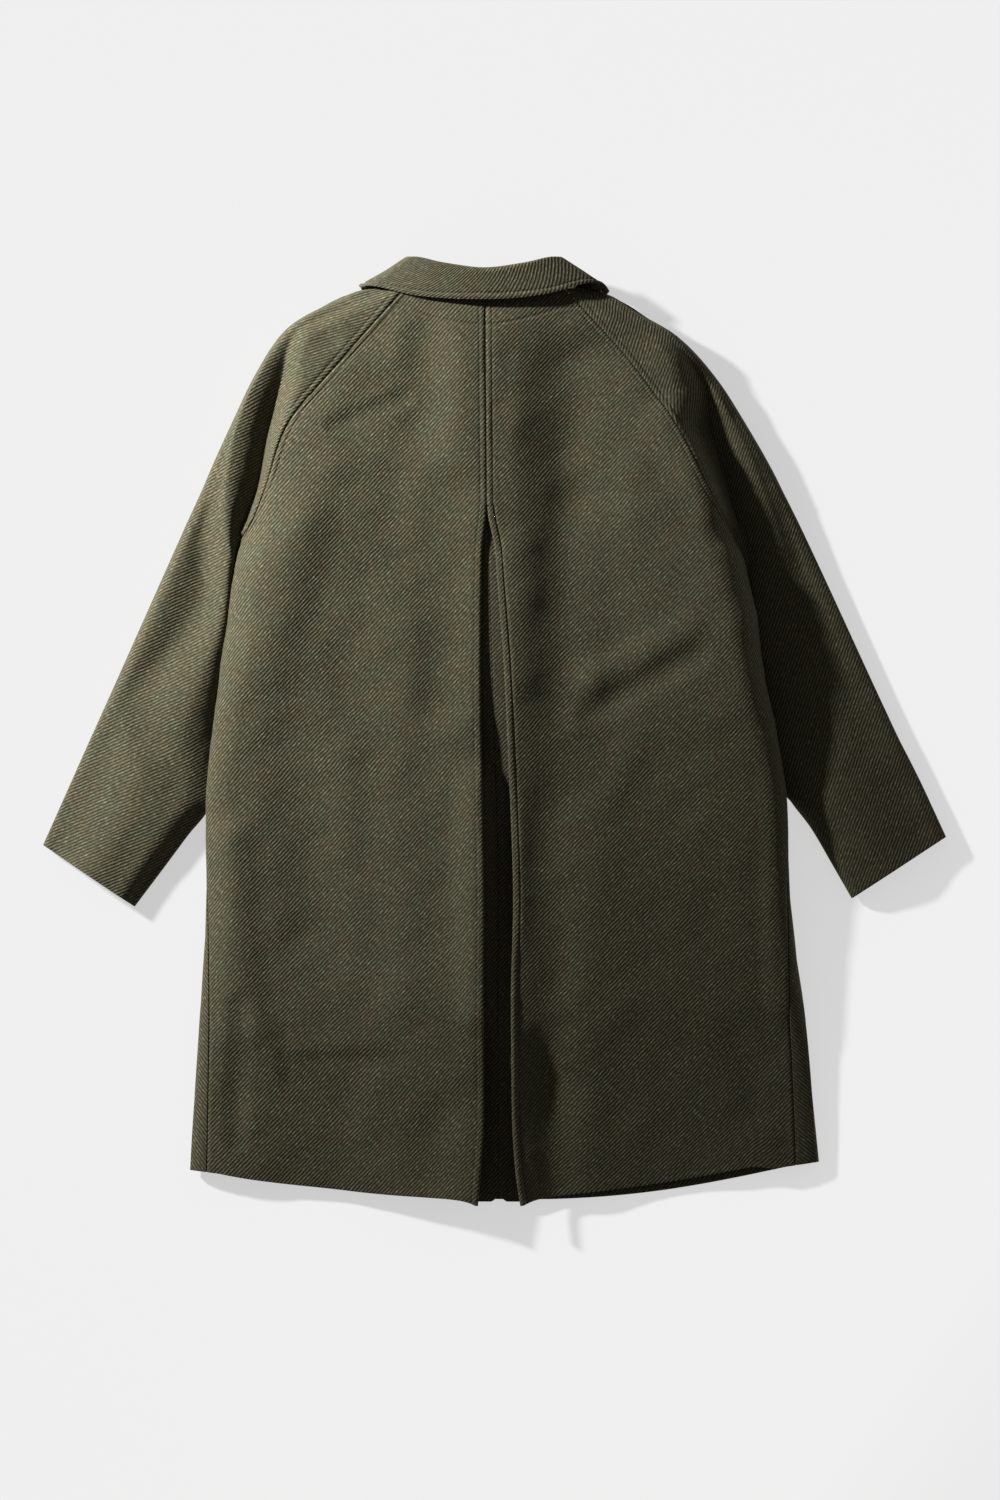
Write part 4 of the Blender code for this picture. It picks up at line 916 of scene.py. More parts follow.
def sleeve_front_section(half, along):
    """A section of a sleeve's under half, on the surface: points, normals, outer edge, inward."""
    row = station(half.sleeve, along)
    start = np.array([row.out_x, row.out_y], float)
    end = np.array([row.in_x, row.in_y, UNDERARM_SEAM_Z - SEAM_GAP / 2])
    if along <= 1:
        down = along * UNDERARM
        end = front_raglan(half, down)
        away = unit(start - end[:2])
        end = end + np.array([away[0], away[1], 0.0]) * SEAM_GAP
        end[2] -= SEAM_GAP if down > FRONT_RAGLAN_END else 0.0
        end[2] -= UNDERARM_PARTING if along == 1 else 0.0
    length = np.linalg.norm(end[:2] - start)
    shares = even_places(1.0, FINE * 2, SLEEVE_CROWDING)
    plan = start + np.outer(shares, end[:2] - start)
    ground = floor_height(plan[:, 0], plan[:, 1])
    turn = np.arccos(np.clip(1 - shares * length / UNDER_ROLL, 0, 1))
    heights = ground + (row.edge - SEAM_GAP / 2 - ground) * (1 - np.sin(turn))
    climb = np.clip(1 - (1 - shares) * length / UNDERARM_ROLL, 0, 1)
    heights = heights + max(end[2] - ground[-1], 0.0) * (1 - np.sqrt(1 - climb**2))
    points = np.column_stack([plan, heights])
    inward = unit(end[:2] - start)
    normals = line_normals(points, inward, np.array([-inward[0], -inward[1], -EDGE_TILT]))
    normals[0] = (-inward[0], -inward[1], 0.0)
    if along > 1:
        normals[-1] = (inward[0], inward[1], 0.0)
    return points, normals, start, inward


def sleeve_front_grid(half):
    """Rows of a sleeve's under half, from the neck to the cuff."""
    stations = tuple(down / UNDERARM for down in UPPER_STATIONS) + LOWER_SLEEVE_STATIONS
    return hidden_grid(half, sleeve_front_section, stations, UNDER_SLEEVE_CROWDING, half.grain)


def collar_section(angle):
    """Points and normals of the collar at an angle round the neck: fall, roll and stand."""
    row = station(COLLAR_ROUND, angle)
    across = math.sin(math.radians(angle))
    lifted = np.zeros(2)
    for lift in FALL_LIFTS:
        lifted = lifted + bump(angle - lift.angle, lift.spread) * np.array([lift.back, lift.up])
    fall_y, fall_z = (row.fall_y - COLLAR_TILT * across, row.fall_z) + lifted
    fall = np.array([COLLAR_CENTRE_X + FALL_HALF_WIDTH * across, fall_y, max(fall_z, LOWEST_FALL)])
    roll = np.array([COLLAR_CENTRE_X + ROLL_HALF_WIDTH * across, row.roll_y, row.roll_z])
    neck = np.array([COLLAR_CENTRE_X + NECK_HALF_WIDTH * across, row.neck_y, row.neck_z])
    down = unit((fall + neck) / 2 - roll)
    out = fall - neck
    out = unit(out - (out @ down) * down)
    centre = roll + down * row.round
    angles = np.radians(np.linspace(0, 180, COLLAR_ARC_COLUMNS))
    arc = centre + row.round * (np.outer(np.cos(angles), out) - np.outer(np.sin(angles), down))
    length = np.linalg.norm(arc[0] - fall)
    at = column_places(length, COLLAR_FALL_COLUMNS, SEAM_PLACES, np.array([0.0]))
    fall_part = fall + np.outer(at / length, arc[0] - fall)
    stand = arc[-1] + np.outer(np.linspace(0, 1, COLLAR_STAND_COLUMNS + 1)[1:], neck - arc[-1])
    line = np.concatenate([fall_part[:-1], arc, stand])
    normals = unit_rows(np.cross(np.gradient(line, axis=0), unit(np.cross(out, down))))
    return line, normals if normals[0] @ out > 0 else -normals


@lru_cache(maxsize=None)
def collar_grid():
    """Rows of the collar round the neck, each from the fall's edge over the roll to the neck seam."""
    rows = []
    girth = 0.0
    last = None
    for angle in np.linspace(-COLLAR_END, COLLAR_END, COLLAR_ROWS):
        line, facing = collar_section(float(angle))
        at = line_length(line)
        middle = line[COLLAR_FALL_COLUMNS // 2]
        girth += 0.0 if last is None else np.linalg.norm(middle - last)
        last = middle
        calm = ease((at[COLLAR_FALL_COLUMNS] - at) / ROLL_CALM) * ease(at / COLLAR_CALM)
        waves = unevenness(COLLAR_SEED, line[:, 0], line[:, 1]) * COLLAR_WAVES
        relief = pressed(COLLAR_EDGE, at) + waves * calm
        flat = np.column_stack([np.full(len(at), girth), at])
        rows.append(GridRow(line + facing * relief[:, None], facing, flat))
    return rows


def flat_area(grid):
    """Area of a panel's outer face in square metres."""
    total = 0.0
    for upper, lower in zip(grid, grid[1:]):
        count = min(len(upper.points), len(lower.points))
        a, b = upper.points[: count - 1], upper.points[1:count]
        c, d = lower.points[1:count], lower.points[: count - 1]
        total += np.linalg.norm(np.cross(c - a, d - b), axis=1).sum() / 2
    return total * MM * MM


def start_clean():
    """Object mode with nothing selected."""
    if bpy.context.object and bpy.context.object.mode != "OBJECT":
        bpy.ops.object.mode_set(mode="OBJECT")
    bpy.ops.object.select_all(action="DESELECT")


def apply_modifier(piece, kind, **values):
    modifier = piece.modifiers.new(kind.title(), kind)
    for name, value in values.items():
        setattr(modifier, name, value)
    bpy.ops.object.modifier_apply(modifier=modifier.name)


def grid_mesh(name, grid):
    """A grid primitive with its points moved to a panel's rows and its grain map to their flat places."""
    start_clean()
    columns = max(len(row.points) for row in grid)
    bpy.ops.mesh.primitive_grid_add(x_subdivisions=columns - 1, y_subdivisions=len(grid) - 1, size=1.0)
    piece = bpy.context.object
    piece.name = piece.data.name = name
    wanted = columns * len(grid)
    if len(piece.data.vertices) != wanted:
        raise RuntimeError(f"{name}: the grid has {len(piece.data.vertices)} points, not {wanted}")
    places = np.zeros((len(grid), columns, 3))
    flat = np.zeros((len(grid), columns, 2))
    used = np.zeros((len(grid), columns), bool)
    for i, row in enumerate(grid):
        count = len(row.points)
        places[i, :count] = row.points + CENTRING
        flat[i, :count] = row.flat
        used[i, :count] = True
    piece.data.vertices.foreach_set("co", (places * MM).ravel())
    piece.data.uv_layers[0].name = "grain"
    corners = np.empty(len(piece.data.loops), np.int32)
    piece.data.loops.foreach_get("vertex_index", corners)
    piece.data.uv_layers["grain"].uv.foreach_set("vector", (flat.reshape(-1, 2)[corners] * MM).ravel())
    shape = bmesh.new()
    shape.from_mesh(piece.data)
    shape.verts.ensure_lookup_table()
    spare = [shape.verts[i] for i in np.flatnonzero(~used.ravel())]
    bmesh.ops.delete(shape, geom=spare, context="VERTS")
    shape.faces.ensure_lookup_table()
    outward = grid[0].normals[0] + grid[0].normals[1] + grid[1].normals[0]
    if shape.faces[0].normal.dot(outward) < 0:
        bmesh.ops.reverse_faces(shape, faces=shape.faces)
    shape.to_mesh(piece.data)
    shape.free()
    return piece


RIM_SHARE = 0.25  # share of the cloth's thickness that its rims are rounded by
RIM_ANGLE = math.radians(60)  # edges sharper than this are rims
SMOOTH_ANGLE = math.radians(50)
AREA_ROOM = 1.001  # a flat size holds the panel's area with this much to spare


def cloth_panel(node, grid, thickness, slot="coat_wool", level=1.0):
    """A thin closed shell with rounded rims that stands in for a node's solid, whose part it hides."""
    piece = grid_mesh(f"cloth_{node}", grid)
    apply_modifier(piece, "SOLIDIFY", thickness=thickness, offset=-1.0, use_quality_normals=True)
    apply_modifier(piece, "BEVEL", width=RIM_SHARE * thickness, segments=2, limit_method="ANGLE",
                   angle_limit=RIM_ANGLE)
    bpy.ops.object.shade_smooth_by_angle(angle=SMOOTH_ANGLE)
    piece.data.materials.clear()
    piece.data.materials.append(wool(slot, level))
    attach(piece, "root")
    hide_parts(node)
    area = flat_area(grid)
    widest = max(line_length(row.points)[-1] for row in grid) * MM
    edges = [np.array([row.points[k] for row in grid]) for k in (0, len(grid[0].points) - 1)]
    longest = max(line_length(edge)[-1] for edge in edges) * MM
    if area > widest * longest:
        longest = AREA_ROOM * area / widest


def feed(tree, socket, value):
    """Links a node's result to a socket, or sets the socket to a plain value."""
    if isinstance(value, bpy.types.NodeSocket):
        tree.links.new(value, socket)
    else:
        socket.default_value = value


def add_node(tree, kind, options=None, **inputs):
    """A shader node with its options and what its named inputs are fed."""
    node = tree.nodes.new(kind)
    for name, value in (options or {}).items():
        setattr(node, name, value)
    for name, value in inputs.items():
        feed(tree, node.inputs[name.replace("_", " ")], value)
    return node


def maths(tree, operation, *values):
    """The result of a math node on links or plain numbers."""
    node = add_node(tree, "ShaderNodeMath", {"operation": operation})
    for socket, value in zip(node.inputs, values):
        feed(tree, socket, value)
    return node.outputs[0]


def multiplied(tree, first, second):
    """The product of two colours. A Mix node has its colours at inputs 6 and 7 and output 2."""
    node = add_node(tree, "ShaderNodeMix", {"data_type": "RGBA", "blend_type": "MULTIPLY"})
    for k, value in ((0, 1.0), (6, first), (7, second)):
        feed(tree, node.inputs[k], value)
    return node.outputs[2]


def noise(tree, vector, scale, detail=2.0):
    """The value of flat noise over a map."""
    node = add_node(tree, "ShaderNodeTexNoise", {"noise_dimensions": "2D"}, Vector=vector, Scale=scale,
                    Detail=detail)
    return node.outputs["Fac"]


def mapped(tree, vector, **change):
    """A map that is turned or stretched."""
    return add_node(tree, "ShaderNodeMapping", Vector=vector, **change).outputs[0]


def ramp(tree, value, stops):
    """The colour of a ramp over (place, colour) stops."""
    node = add_node(tree, "ShaderNodeValToRGB", Fac=value)
    elements = node.color_ramp.elements
    while len(elements) < len(stops):
        elements.new(0.5)
    for element, (place, colour) in zip(elements, stops):
        element.position, element.color = place, colour
    return node.outputs["Color"]


def rgba(colour, level=1.0):
    return (colour[0] * level, colour[1] * level, colour[2] * level, 1.0)


def new_material(name):
    """A material and its node tree."""
    material = bpy.data.materials.new(name)
    material.use_nodes = True
    return material, material.node_tree


def dress(tree, **sockets):
    """Feeds the named sockets of a material's shader."""
    shader = tree.nodes["Principled BSDF"]
    for name, value in sockets.items():
        feed(tree, shader.inputs[name.replace("_", " ")], value)


RIB_WANDER, RIB_WANDER_SCALE = 0.45, 75.0  # how far the ribs wander, in ribs, and the scale of it
FLOAT_OFFSET = 9.0  # largest offset between the floats of two ribs, in floats
FLOAT_WANDER, FLOAT_WANDER_SCALE = 1.6, 240.0  # how uneven the floats are, in floats, and the scale of it
FLOAT_DIP = 0.15  # a rib loses up to twice this share of its height between two floats
FLECK_SCALE, FLECK_STRETCH = 560.0, 0.35  # flecks of yarn, longer along the ribs
MOTTLE_SCALE = 38.0  # patches of warmer and greener wool
FUZZ_SCALE = 430.0
RIB_SHARE, FUZZ_SHARE = 0.9, 0.2  # of the nap's height
WARM_PATCH, GREEN_PATCH = (1.06, 0.99, 0.94, 1), (0.94, 1.01, 0.99, 1)  # tints of the mottling
RIB_GAP_PAINTED_SHADE, RIB_TOP_PAINTED_HIGHLIGHT = (0.36, 0.35, 0.33, 1), (1.62, 1.62, 1.60, 1)  # painted shade between the ribs and a painted highlight on their tops, by the nap's height
PLY_SCALE = 900.0


def twill_heights(tree, grain, weave):
    """Height of the twill's ribs, 0 to 1, and the grain map turned along them."""
    turned = mapped(tree, grain, Rotation=(0, 0, -weave.twill_angle))
    parts = add_node(tree, "ShaderNodeSeparateXYZ", Vector=turned).outputs
    wander = maths(tree, "SUBTRACT", noise(tree, grain, RIB_WANDER_SCALE), 0.5)
    wander = maths(tree, "MULTIPLY", wander, RIB_WANDER)
    phase = maths(tree, "ADD", maths(tree, "DIVIDE", parts["Y"], weave.twill_pitch), wander)
    rib = maths(tree, "SINE", maths(tree, "MULTIPLY", phase, 2 * math.pi))
    rib = maths(tree, "MULTIPLY_ADD", rib, 0.5, 0.5)
    number = maths(tree, "FLOOR", phase)
    own = add_node(tree, "ShaderNodeTexWhiteNoise", {"noise_dimensions": "1D"}, W=number).outputs[0]
    run = maths(tree, "DIVIDE", parts["X"], weave.yarn_float)
    run = maths(tree, "ADD", run, maths(tree, "MULTIPLY", own, FLOAT_OFFSET))
    uneven = maths(tree, "MULTIPLY", noise(tree, grain, FLOAT_WANDER_SCALE), FLOAT_WANDER)
    run = maths(tree, "ADD", run, uneven)
    dash = maths(tree, "SINE", maths(tree, "MULTIPLY", run, 2 * math.pi))
    dash = maths(tree, "MULTIPLY_ADD", dash, FLOAT_DIP, 1 - FLOAT_DIP)
    return maths(tree, "MULTIPLY", rib, dash), turned


def wool_material(name, weave, colours, level):
    """Coarse wool twill: diagonal ribs of short floats, mixed yarns, soft mottling, a felted nap, and painted
    shade between the ribs with a painted highlight on them.
    """
    material, tree = new_material(name)
    grain = add_node(tree, "ShaderNodeUVMap", {"uv_map": "grain"}).outputs["UV"]
    height, turned = twill_heights(tree, grain, weave)
    stretched = mapped(tree, turned, Scale=(FLECK_STRETCH, 1.0, 1.0))
    yarn = ramp(tree, noise(tree, stretched, FLECK_SCALE, 1.0), (
        (0.12, rgba(colours.dark_yarn, level)),
        (0.42, rgba(colours.brown_yarn, level)),
        (0.60, rgba(colours.olive_yarn, level)),
        (0.92, rgba(colours.light_fleck, level)),
    ))
    mottle = ramp(tree, noise(tree, grain, MOTTLE_SCALE), ((0.32, WARM_PATCH), (0.68, GREEN_PATCH)))
    fuzz = maths(tree, "MULTIPLY", noise(tree, grain, FUZZ_SCALE, 1.0), FUZZ_SHARE)
    nap = maths(tree, "ADD", maths(tree, "MULTIPLY", height, RIB_SHARE), fuzz)
    # painted shade and highlight: the yarn's colour is darkened between the ribs and lightened on them
    shade = ramp(tree, nap, ((0.12, RIB_GAP_PAINTED_SHADE), (0.92, RIB_TOP_PAINTED_HIGHLIGHT)))
    colour = multiplied(tree, multiplied(tree, yarn, mottle), shade)
    relief = add_node(tree, "ShaderNodeBump", Height=nap, Strength=weave.weave_strength,
                      Distance=weave.weave_depth)
    dress(tree, Base_Color=colour, Normal=relief.outputs["Normal"], Roughness=0.92, Specular_IOR_Level=0.18,
          Sheen_Weight=weave.nap_sheen, Sheen_Roughness=0.5, Sheen_Tint=rgba(colours.light_fleck, 3.0))
    return material


def thread_material(colours):
    """Dull wool-coloured sewing thread with the slight twist of its plies."""
    material, tree = new_material("stitching")
    place = tree.nodes.new("ShaderNodeTexCoord").outputs["Object"]
    plies = add_node(tree, "ShaderNodeTexNoise", Vector=place, Scale=PLY_SCALE, Detail=2.0).outputs["Fac"]
    colour = ramp(tree, plies, ((0.3, rgba(colours.thread, 0.7)), (0.7, rgba(colours.thread, 1.25))))
    dress(tree, Base_Color=colour, Roughness=0.8)
    return material


STITCH_SIDES = 6
STITCH_LOOK = np.array([-0.5, 0.0, 0.5])  # the places around a stitch's middle that give its direction
# A stitch from end to end: its place in half lengths, and its width and depth in thread radii.
STITCH_PROFILE = ((-1.0, 0.35, 1.2), (-0.55, 1.0, 0.5), (0.55, 1.0, 0.5), (1.0, 0.35, 1.2))


def stitches(name, paths, sewing, material):
    """Rows of sunk stitches along paths of points and normals, joined in one mesh."""
    turns = np.linspace(0, 2 * math.pi, STITCH_SIDES, endpoint=False)
    half, radius = sewing.stitch_length / 2, sewing.thread_width / 2
    vertices, faces = [], []
    for points, normals in paths:
        points, normals = np.asarray(points), np.asarray(normals)
        length = line_length(points)
        count = int(length[-1] * MM / sewing.stitch_pitch)
        for place in (np.arange(count) + 0.5) * sewing.stitch_pitch / MM:
            before, middle, after = read_line(place + STITCH_LOOK, length, points)
            along = unit(after - before)
            side = unit(np.cross(along, read_line(place, length, normals)))
            up = np.cross(side, along)
            first = len(vertices)
            for step, width, depth in STITCH_PROFILE:
                centre = (middle + CENTRING) * MM + along * step * half - up * depth * radius
                for turn in turns:
                    vertices.append(centre + radius * width * (math.cos(turn) * side + math.sin(turn) * up))
            last = len(vertices) - STITCH_SIDES
            for ring in range(first, last, STITCH_SIDES):
                for k in range(STITCH_SIDES):
                    one, two = ring + k, ring + (k + 1) % STITCH_SIDES
                    faces.append((one, two, two + STITCH_SIDES, one + STITCH_SIDES))
            faces.append(tuple(first + k for k in reversed(range(STITCH_SIDES))))
            faces.append(tuple(last + k for k in range(STITCH_SIDES)))
    mesh = bpy.data.meshes.new(name)
    mesh.from_pydata([tuple(v) for v in vertices], [], faces)
    shape = bmesh.new()
    shape.from_mesh(mesh)
    bmesh.ops.recalc_face_normals(shape, faces=shape.faces)
    shape.to_mesh(mesh)
    shape.free()
    mesh.shade_smooth()
    mesh.materials.append(material)
    piece = bpy.data.objects.new(name, mesh)
    bpy.context.scene.collection.objects.link(piece)
    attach(piece, "root")


def facing_path(grid):
    """Points and normals along the neck facing's stitching, where it crosses the columns of a back panel."""
    points, normals = [], []
    for column in range(STITCH_COLUMN + 1, BACK_COLUMNS - STITCH_COLUMN - 1):
        places = np.array([row.points[column] for row in grid[: 2 * NECK_ROWS]])
        under = np.flatnonzero(places[:, 1] < facing_line(places[:, 0]))
        inside = NECK_FACING_LINE[0][0] < places[0, 0] < NECK_FACING_LINE[-1][0]
        if inside and len(under) and under[0] > 0:
            points.append(places[under[0]])
            normals.append(grid[under[0]].normals[column])
    return points, normals


def column_path(grid, column, first=0, last=None):
    """Points and normals down one column of a grid."""
    rows = grid[first:last]
    return [row.points[column] for row in rows], [row.normals[column] for row in rows]


class CoatWeave(PropertyGroup):
    """Cloth of the coat."""

    cloth: FloatProperty(name="Cloth", description="Thickness of the wool", default=0.0024, unit="LENGTH")
    collar_cloth: FloatProperty(name="Collar", description="Thickness of the pressed collar", default=0.003,
                                unit="LENGTH")
    twill_pitch: FloatProperty(name="Twill pitch", description="From rib to rib", default=0.0033,
                               unit="LENGTH", precision=4)
    twill_angle: FloatProperty(name="Twill angle", description="Of the ribs to the weft", subtype="ANGLE",
                               default=math.radians(46))
    yarn_float: FloatProperty(name="Float", description="Length of a rib's floats", default=0.0085,
                              unit="LENGTH", precision=4)
    weave_depth: FloatProperty(name="Weave depth", description="Height of the ribs", default=0.0009,
                               unit="LENGTH", precision=5)
    weave_strength: FloatProperty(name="Weave strength", description="Share of the ribs' height that shows",
                                  default=0.7, min=0, max=1)
    nap_sheen: FloatProperty(name="Nap", description="Sheen of the felted nap", default=0.25, min=0, max=1)


class CoatSewing(PropertyGroup):
    """Topstitching of the coat."""

    stitch_length: FloatProperty(name="Stitch", description="Length of a stitch", default=0.0027,
                                 unit="LENGTH", precision=4)
    stitch_pitch: FloatProperty(name="Pitch", description="From stitch to stitch", default=0.0036,
                                unit="LENGTH", precision=4)
    thread_width: FloatProperty(name="Thread", description="Width of the thread", default=0.0007,
                                unit="LENGTH", precision=4)


class CoatColours(PropertyGroup):
    """Yarns and threads of the coat."""

    dark_yarn: FloatVectorProperty(name="Dark yarn", description="Deepest yarn of the melange",
                                   subtype="COLOR", default=(0.026, 0.023, 0.012))
    brown_yarn: FloatVectorProperty(name="Brown yarn", description="Warm yarn of the melange",
                                    subtype="COLOR", default=(0.052, 0.045, 0.026))
    olive_yarn: FloatVectorProperty(name="Olive yarn", description="Green yarn of the melange",
                                    subtype="COLOR", default=(0.056, 0.055, 0.033))
    light_fleck: FloatVectorProperty(name="Light fleck", description="Pale flecks of the melange",
                                     subtype="COLOR", default=(0.125, 0.120, 0.083))
    thread: FloatVectorProperty(name="Thread", description="Sewing thread", subtype="COLOR",
                                default=(0.020, 0.018, 0.011))


class CoatStage(PropertyGroup):
    """Floor, light and camera."""

    floor: FloatProperty(name="Floor", description="Half the floor's width", default=4.0, unit="LENGTH")
    floor_level: FloatProperty(name="Floor level", description="Brightness of the floor in the light",
                               default=0.871, min=0)
    floor_glow: FloatProperty(name="Floor glow", description="Light that the floor passes on", default=0.56,
                              min=0)
    key_power: FloatProperty(name="Key", description="Power of the main light", default=315.0, unit="POWER")
    key_distance: FloatProperty(name="Key distance", description="From the coat", default=4.0, unit="LENGTH")
    key_fade: FloatProperty(name="Key fade", default=7.5, min=0,
                            description="Power by which its light falls off beside the square")
    key_height: FloatProperty(name="Key height", description="Angle of the main light above the floor",
                              default=math.radians(27), subtype="ANGLE")
    key_turn: FloatProperty(name="Key turn", description="Direction of the main light seen from above",
                            default=math.radians(148), subtype="ANGLE")
    key_size: FloatProperty(name="Key size", description="Width of the main light", default=0.3,
                            unit="LENGTH")
    fill: FloatProperty(name="Fill", description="Strength of the even light", default=0.16, min=0)
    camera_height: FloatProperty(name="Camera height", description="Above the floor", default=12.0,
                                 unit="LENGTH")
    view_width: FloatProperty(name="View width", description="Seen at the coat's height", default=1.1,
                              unit="LENGTH")
    view_x: FloatProperty(name="View x", description="Middle of the view", default=0.006, unit="LENGTH")
    view_y: FloatProperty(name="View y", description="Middle of the view", default=-0.0217, unit="LENGTH")
    coat_height: IntProperty(name="Coat height", description="Mean height of the coat in millimetres",
                             default=30)


class CoatSettings(PropertyGroup):
    """All that the coat and its stage are made from."""

    weave: PointerProperty(type=CoatWeave)
    sewing: PointerProperty(type=CoatSewing)
    colours: PointerProperty(type=CoatColours)
    stage: PointerProperty(type=CoatStage)


def settings():
    return bpy.context.scene.raglan_coat


def wool(slot, level):
    """The wool of a slot, made once, its yarns at a level of their own colour; a level below 1 is painted
    shade.
    """
    name = f"{slot}_twill"
    chosen = settings()
    return bpy.data.materials.get(name) or wool_material(name, chosen.weave, chosen.colours, level)


class COAT_OT_back(Operator):
    """Two back panels with the centre seam, the pleat's folded edges and the returns behind them"""

    bl_idname = "coat.back"
    bl_label = "Back panels"

    def execute(self, context):
        for half in HALVES:
            cloth_panel(f"back_{half.name}", back_grid(half), settings().weave.cloth)
        return {"FINISHED"}


PLEAT_PAINTED_SHADE = 0.86  # painted shade: the underlays, deep in the pleat, get the coat's wool darkened this much


class COAT_OT_pleat(Operator):
    """Two underlays that close the inverted pleat from behind"""

    bl_idname = "coat.pleat"
    bl_label = "Pleat underlays"

    def execute(self, context):
        for half in HALVES:
            # the underlays' wool is darkened as painted shade for the recess of the pleat
            cloth_panel(f"pleat_underlay_{half.name}", underlay_grid(half),
                        settings().weave.cloth, "pleat_wool", PLEAT_PAINTED_SHADE)
        return {"FINISHED"}


class COAT_OT_fronts(Operator):
    """Two fronts that lie on the surface, lapped at the centre front"""

    bl_idname = "coat.fronts"
    bl_label = "Fronts"

    def execute(self, context):
        for half in HALVES:
            cloth_panel(f"front_{half.name}", front_grid(half), settings().weave.cloth)
        return {"FINISHED"}


class COAT_OT_sleeves(Operator):
    """Upper and under halves of both raglan sleeves"""

    bl_idname = "coat.sleeves"
    bl_label = "Raglan sleeves"

    def execute(self, context):
        cloth = settings().weave.cloth
        for half in HALVES:
            under = f"sleeve_front_{half.name}"
            cloth_panel(under, sleeve_front_grid(half), cloth)
            cloth_panel(f"sleeve_back_{half.name}", sleeve_back_grid(half), cloth)
        return {"FINISHED"}


class COAT_OT_collar(Operator):
    """Collar folded over its roll line, round the neck"""

    bl_idname = "coat.collar"
    bl_label = "Collar"

    def execute(self, context):
        cloth_panel("collar", collar_grid(), settings().weave.collar_cloth)
        return {"FINISHED"}


RAGLAN_STITCH_STOP = 0.012  # the stitching of the raglan seam stops this much of the body above the underarm
SLEEVE_STITCH_START = 4  # row of the sleeve from which its stitching starts
SLEEVE_STITCH_SHARE = 0.95  # share of the rows above the underarm that it runs down


class COAT_OT_stitching(Operator):
    """Topstitching of the centre back, the pleat's edges, the raglan seams, the collar and the facing"""

    bl_idname = "coat.stitching"
    bl_label = "Topstitching"

    def execute(self, context):
        thread = thread_material(settings().colours)
        seam_rows = back_stations().index(PLEAT_TOP)
        raglan_rows = sum(1 for down in back_stations() if down <= UNDERARM - RAGLAN_STITCH_STOP)
        sleeve_rows = int(SLEEVE_UPPER_ROWS * SLEEVE_STITCH_SHARE)
        inner = BACK_COLUMNS - 1 - STITCH_COLUMN
        for half in HALVES:
            back, sleeve = back_grid(half), sleeve_back_grid(half)
            paths = [
                column_path(back, inner, 0, seam_rows),
                column_path(back, inner, seam_rows),
                column_path(back, STITCH_COLUMN, 0, raglan_rows),
                column_path(sleeve, SLEEVE_COLUMNS - 1 - STITCH_COLUMN, SLEEVE_STITCH_START, sleeve_rows),
                facing_path(back),
            ]
            stitches(f"stitching_{half.name}", paths, settings().sewing, thread)
        stitches("stitching_collar", [column_path(collar_grid(), STITCH_COLUMN)], settings().sewing, thread)
        return {"FINISHED"}


WHITE = (1.0, 1.0, 1.0, 1.0)
FLOOR_DROP = 0.0005  # the floor lies this far below the coat
PALEST_FLOOR = 0.95  # the floor's own colour is never paler
FLOOR_FALLOFF = 3  # power by which the light of a plain lamp falls off along a floor


def paper_floor(stage, lamp):
    """Pale floor, its own colour darker where more light falls, so that it looks even."""
    start_clean()
    bpy.ops.mesh.primitive_plane_add(size=2 * stage.floor, location=(0, 0, -FLOOR_DROP))
    floor = bpy.context.object
    floor.name = "floor"
    bpy.ops.object.transform_apply()
    paper, tree = new_material("pale_paper")
    reach = add_node(tree, "ShaderNodeVectorMath", {"operation": "DISTANCE"})
    feed(tree, reach.inputs[0], tree.nodes.new("ShaderNodeTexCoord").outputs["Object"])
    feed(tree, reach.inputs[1], lamp)
    nearer = maths(tree, "DIVIDE", stage.key_distance, reach.outputs["Value"])
    falloff = maths(tree, "POWER", nearer, FLOOR_FALLOFF + stage.key_fade)
    full = stage.key_power * math.sin(stage.key_height) / (math.pi * stage.key_distance) ** 2
    light = maths(tree, "ADD", maths(tree, "MULTIPLY", falloff, full), stage.fill)
    shade = maths(tree, "DIVIDE", stage.floor_level - stage.floor_glow, light)
    shade = maths(tree, "MINIMUM", shade, PALEST_FLOOR)
    dress(tree, Base_Color=shade, Roughness=1.0, Specular_IOR_Level=0.0, Emission_Color=WHITE,
          Emission_Strength=stage.floor_glow)
    floor.data.materials.append(paper)


def even_fill(stage):
    """Even white light from all round."""
    world = bpy.data.worlds.new("studio")
    world.use_nodes = True
    background = world.node_tree.nodes["Background"]
    background.inputs["Color"].default_value = WHITE
    background.inputs["Strength"].default_value = stage.fill
    bpy.context.scene.world = world


def key_light(stage, lamp):
    """The main light, a small disk that falls off faster than a plain lamp."""
    bpy.ops.object.light_add(type="AREA", location=lamp)
    key = bpy.context.object
    key.name = "key_light"
    key.data.shape = "DISK"
    key.data.size = stage.key_size
    key.data.energy = stage.key_power
    key.rotation_euler = (math.pi / 2 - stage.key_height, 0, stage.key_turn + math.pi / 2)
    key.data.use_nodes = True
    tree = key.data.node_tree
    travelled = tree.nodes.new("ShaderNodeLightPath").outputs["Ray Length"]
    fade = maths(tree, "POWER", maths(tree, "DIVIDE", stage.key_distance, travelled), stage.key_fade)
    feed(tree, tree.nodes["Emission"].inputs["Strength"], fade)


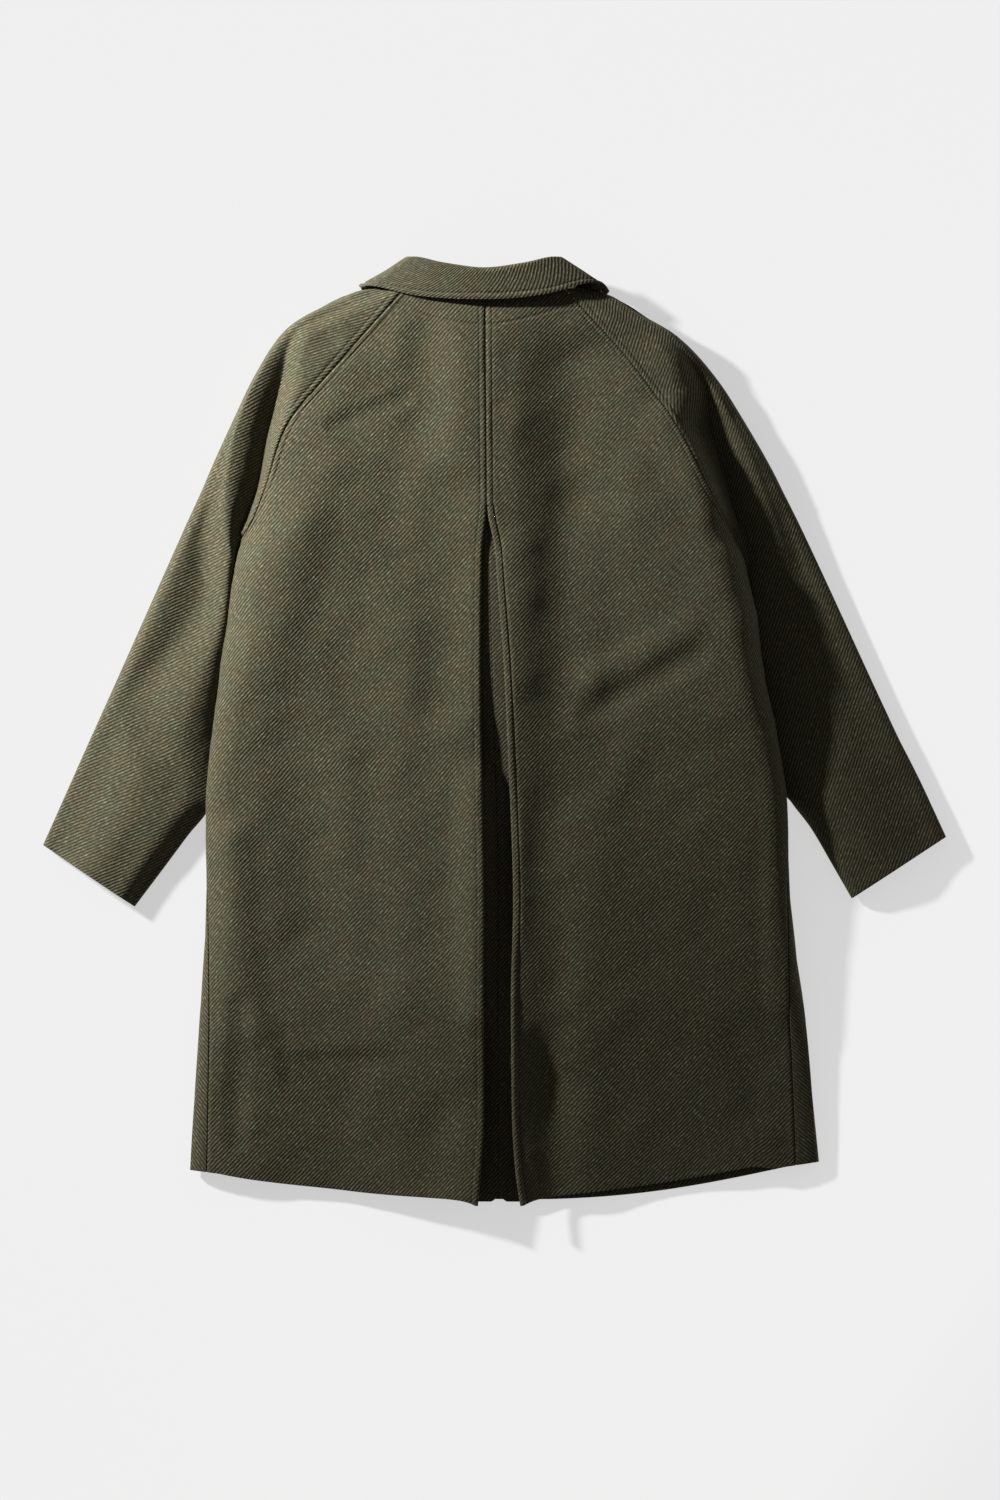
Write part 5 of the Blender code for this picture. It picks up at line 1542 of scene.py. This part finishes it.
def camera_above(stage):
    """A camera that looks straight down, as wide as the view at the coat's height."""
    bpy.ops.object.camera_add(location=(stage.view_x, stage.view_y, stage.camera_height), rotation=(0, 0, 0))
    camera = bpy.context.object
    camera.data.sensor_fit = "HORIZONTAL"
    distance = stage.camera_height - stage.coat_height * MM
    camera.data.lens = camera.data.sensor_width * distance / stage.view_width
    camera.data.clip_end = 100.0
    bpy.context.scene.camera = camera
    bpy.context.scene.view_settings.view_transform = "Standard"


class COAT_OT_stage(Operator):
    """Pale floor, one main light with an even fill, and the camera straight above"""

    bl_idname = "coat.stage"
    bl_label = "Stage"

    def execute(self, context):
        stage = settings().stage
        level, rise = math.cos(stage.key_height), math.sin(stage.key_height)
        toward = np.array([level * math.cos(stage.key_turn), level * math.sin(stage.key_turn), rise])
        lamp = toward * stage.key_distance
        paper_floor(stage, lamp)
        even_fill(stage)
        key_light(stage, lamp)
        camera_above(stage)
        return {"FINISHED"}


OPERATORS = (COAT_OT_back, COAT_OT_pleat, COAT_OT_fronts, COAT_OT_sleeves, COAT_OT_collar, COAT_OT_stitching,
             COAT_OT_stage)


class COAT_PT_panel(Panel):
    """Lists the coat's pieces in the order in which they are made"""

    bl_label = "Raglan coat"
    bl_idname = "COAT_PT_panel"
    bl_space_type = "VIEW_3D"
    bl_region_type = "UI"
    bl_category = "Coat"

    def draw(self, context):
        for operator in OPERATORS:
            self.layout.operator(operator.bl_idname)
        for group in ("weave", "sewing", "colours", "stage"):
            box = self.layout.box()
            values = getattr(context.scene.raglan_coat, group)
            for name in values.__annotations__:
                box.prop(values, name)


CLASSES = (CoatWeave, CoatSewing, CoatColours, CoatStage, CoatSettings) + OPERATORS + (COAT_PT_panel,)


def register():
    for one in CLASSES:
        bpy.utils.register_class(one)
    bpy.types.Scene.raglan_coat = PointerProperty(type=CoatSettings)


def unregister():
    del bpy.types.Scene.raglan_coat
    for one in reversed(CLASSES):
        bpy.utils.unregister_class(one)


def main():
    register()
    bpy.ops.coat.back()
    bpy.ops.coat.pleat()
    bpy.ops.coat.fronts()
    bpy.ops.coat.sleeves()
    bpy.ops.coat.collar()
    bpy.ops.coat.stitching()
    bpy.ops.coat.stage()


if __name__ == "__main__":
    main()
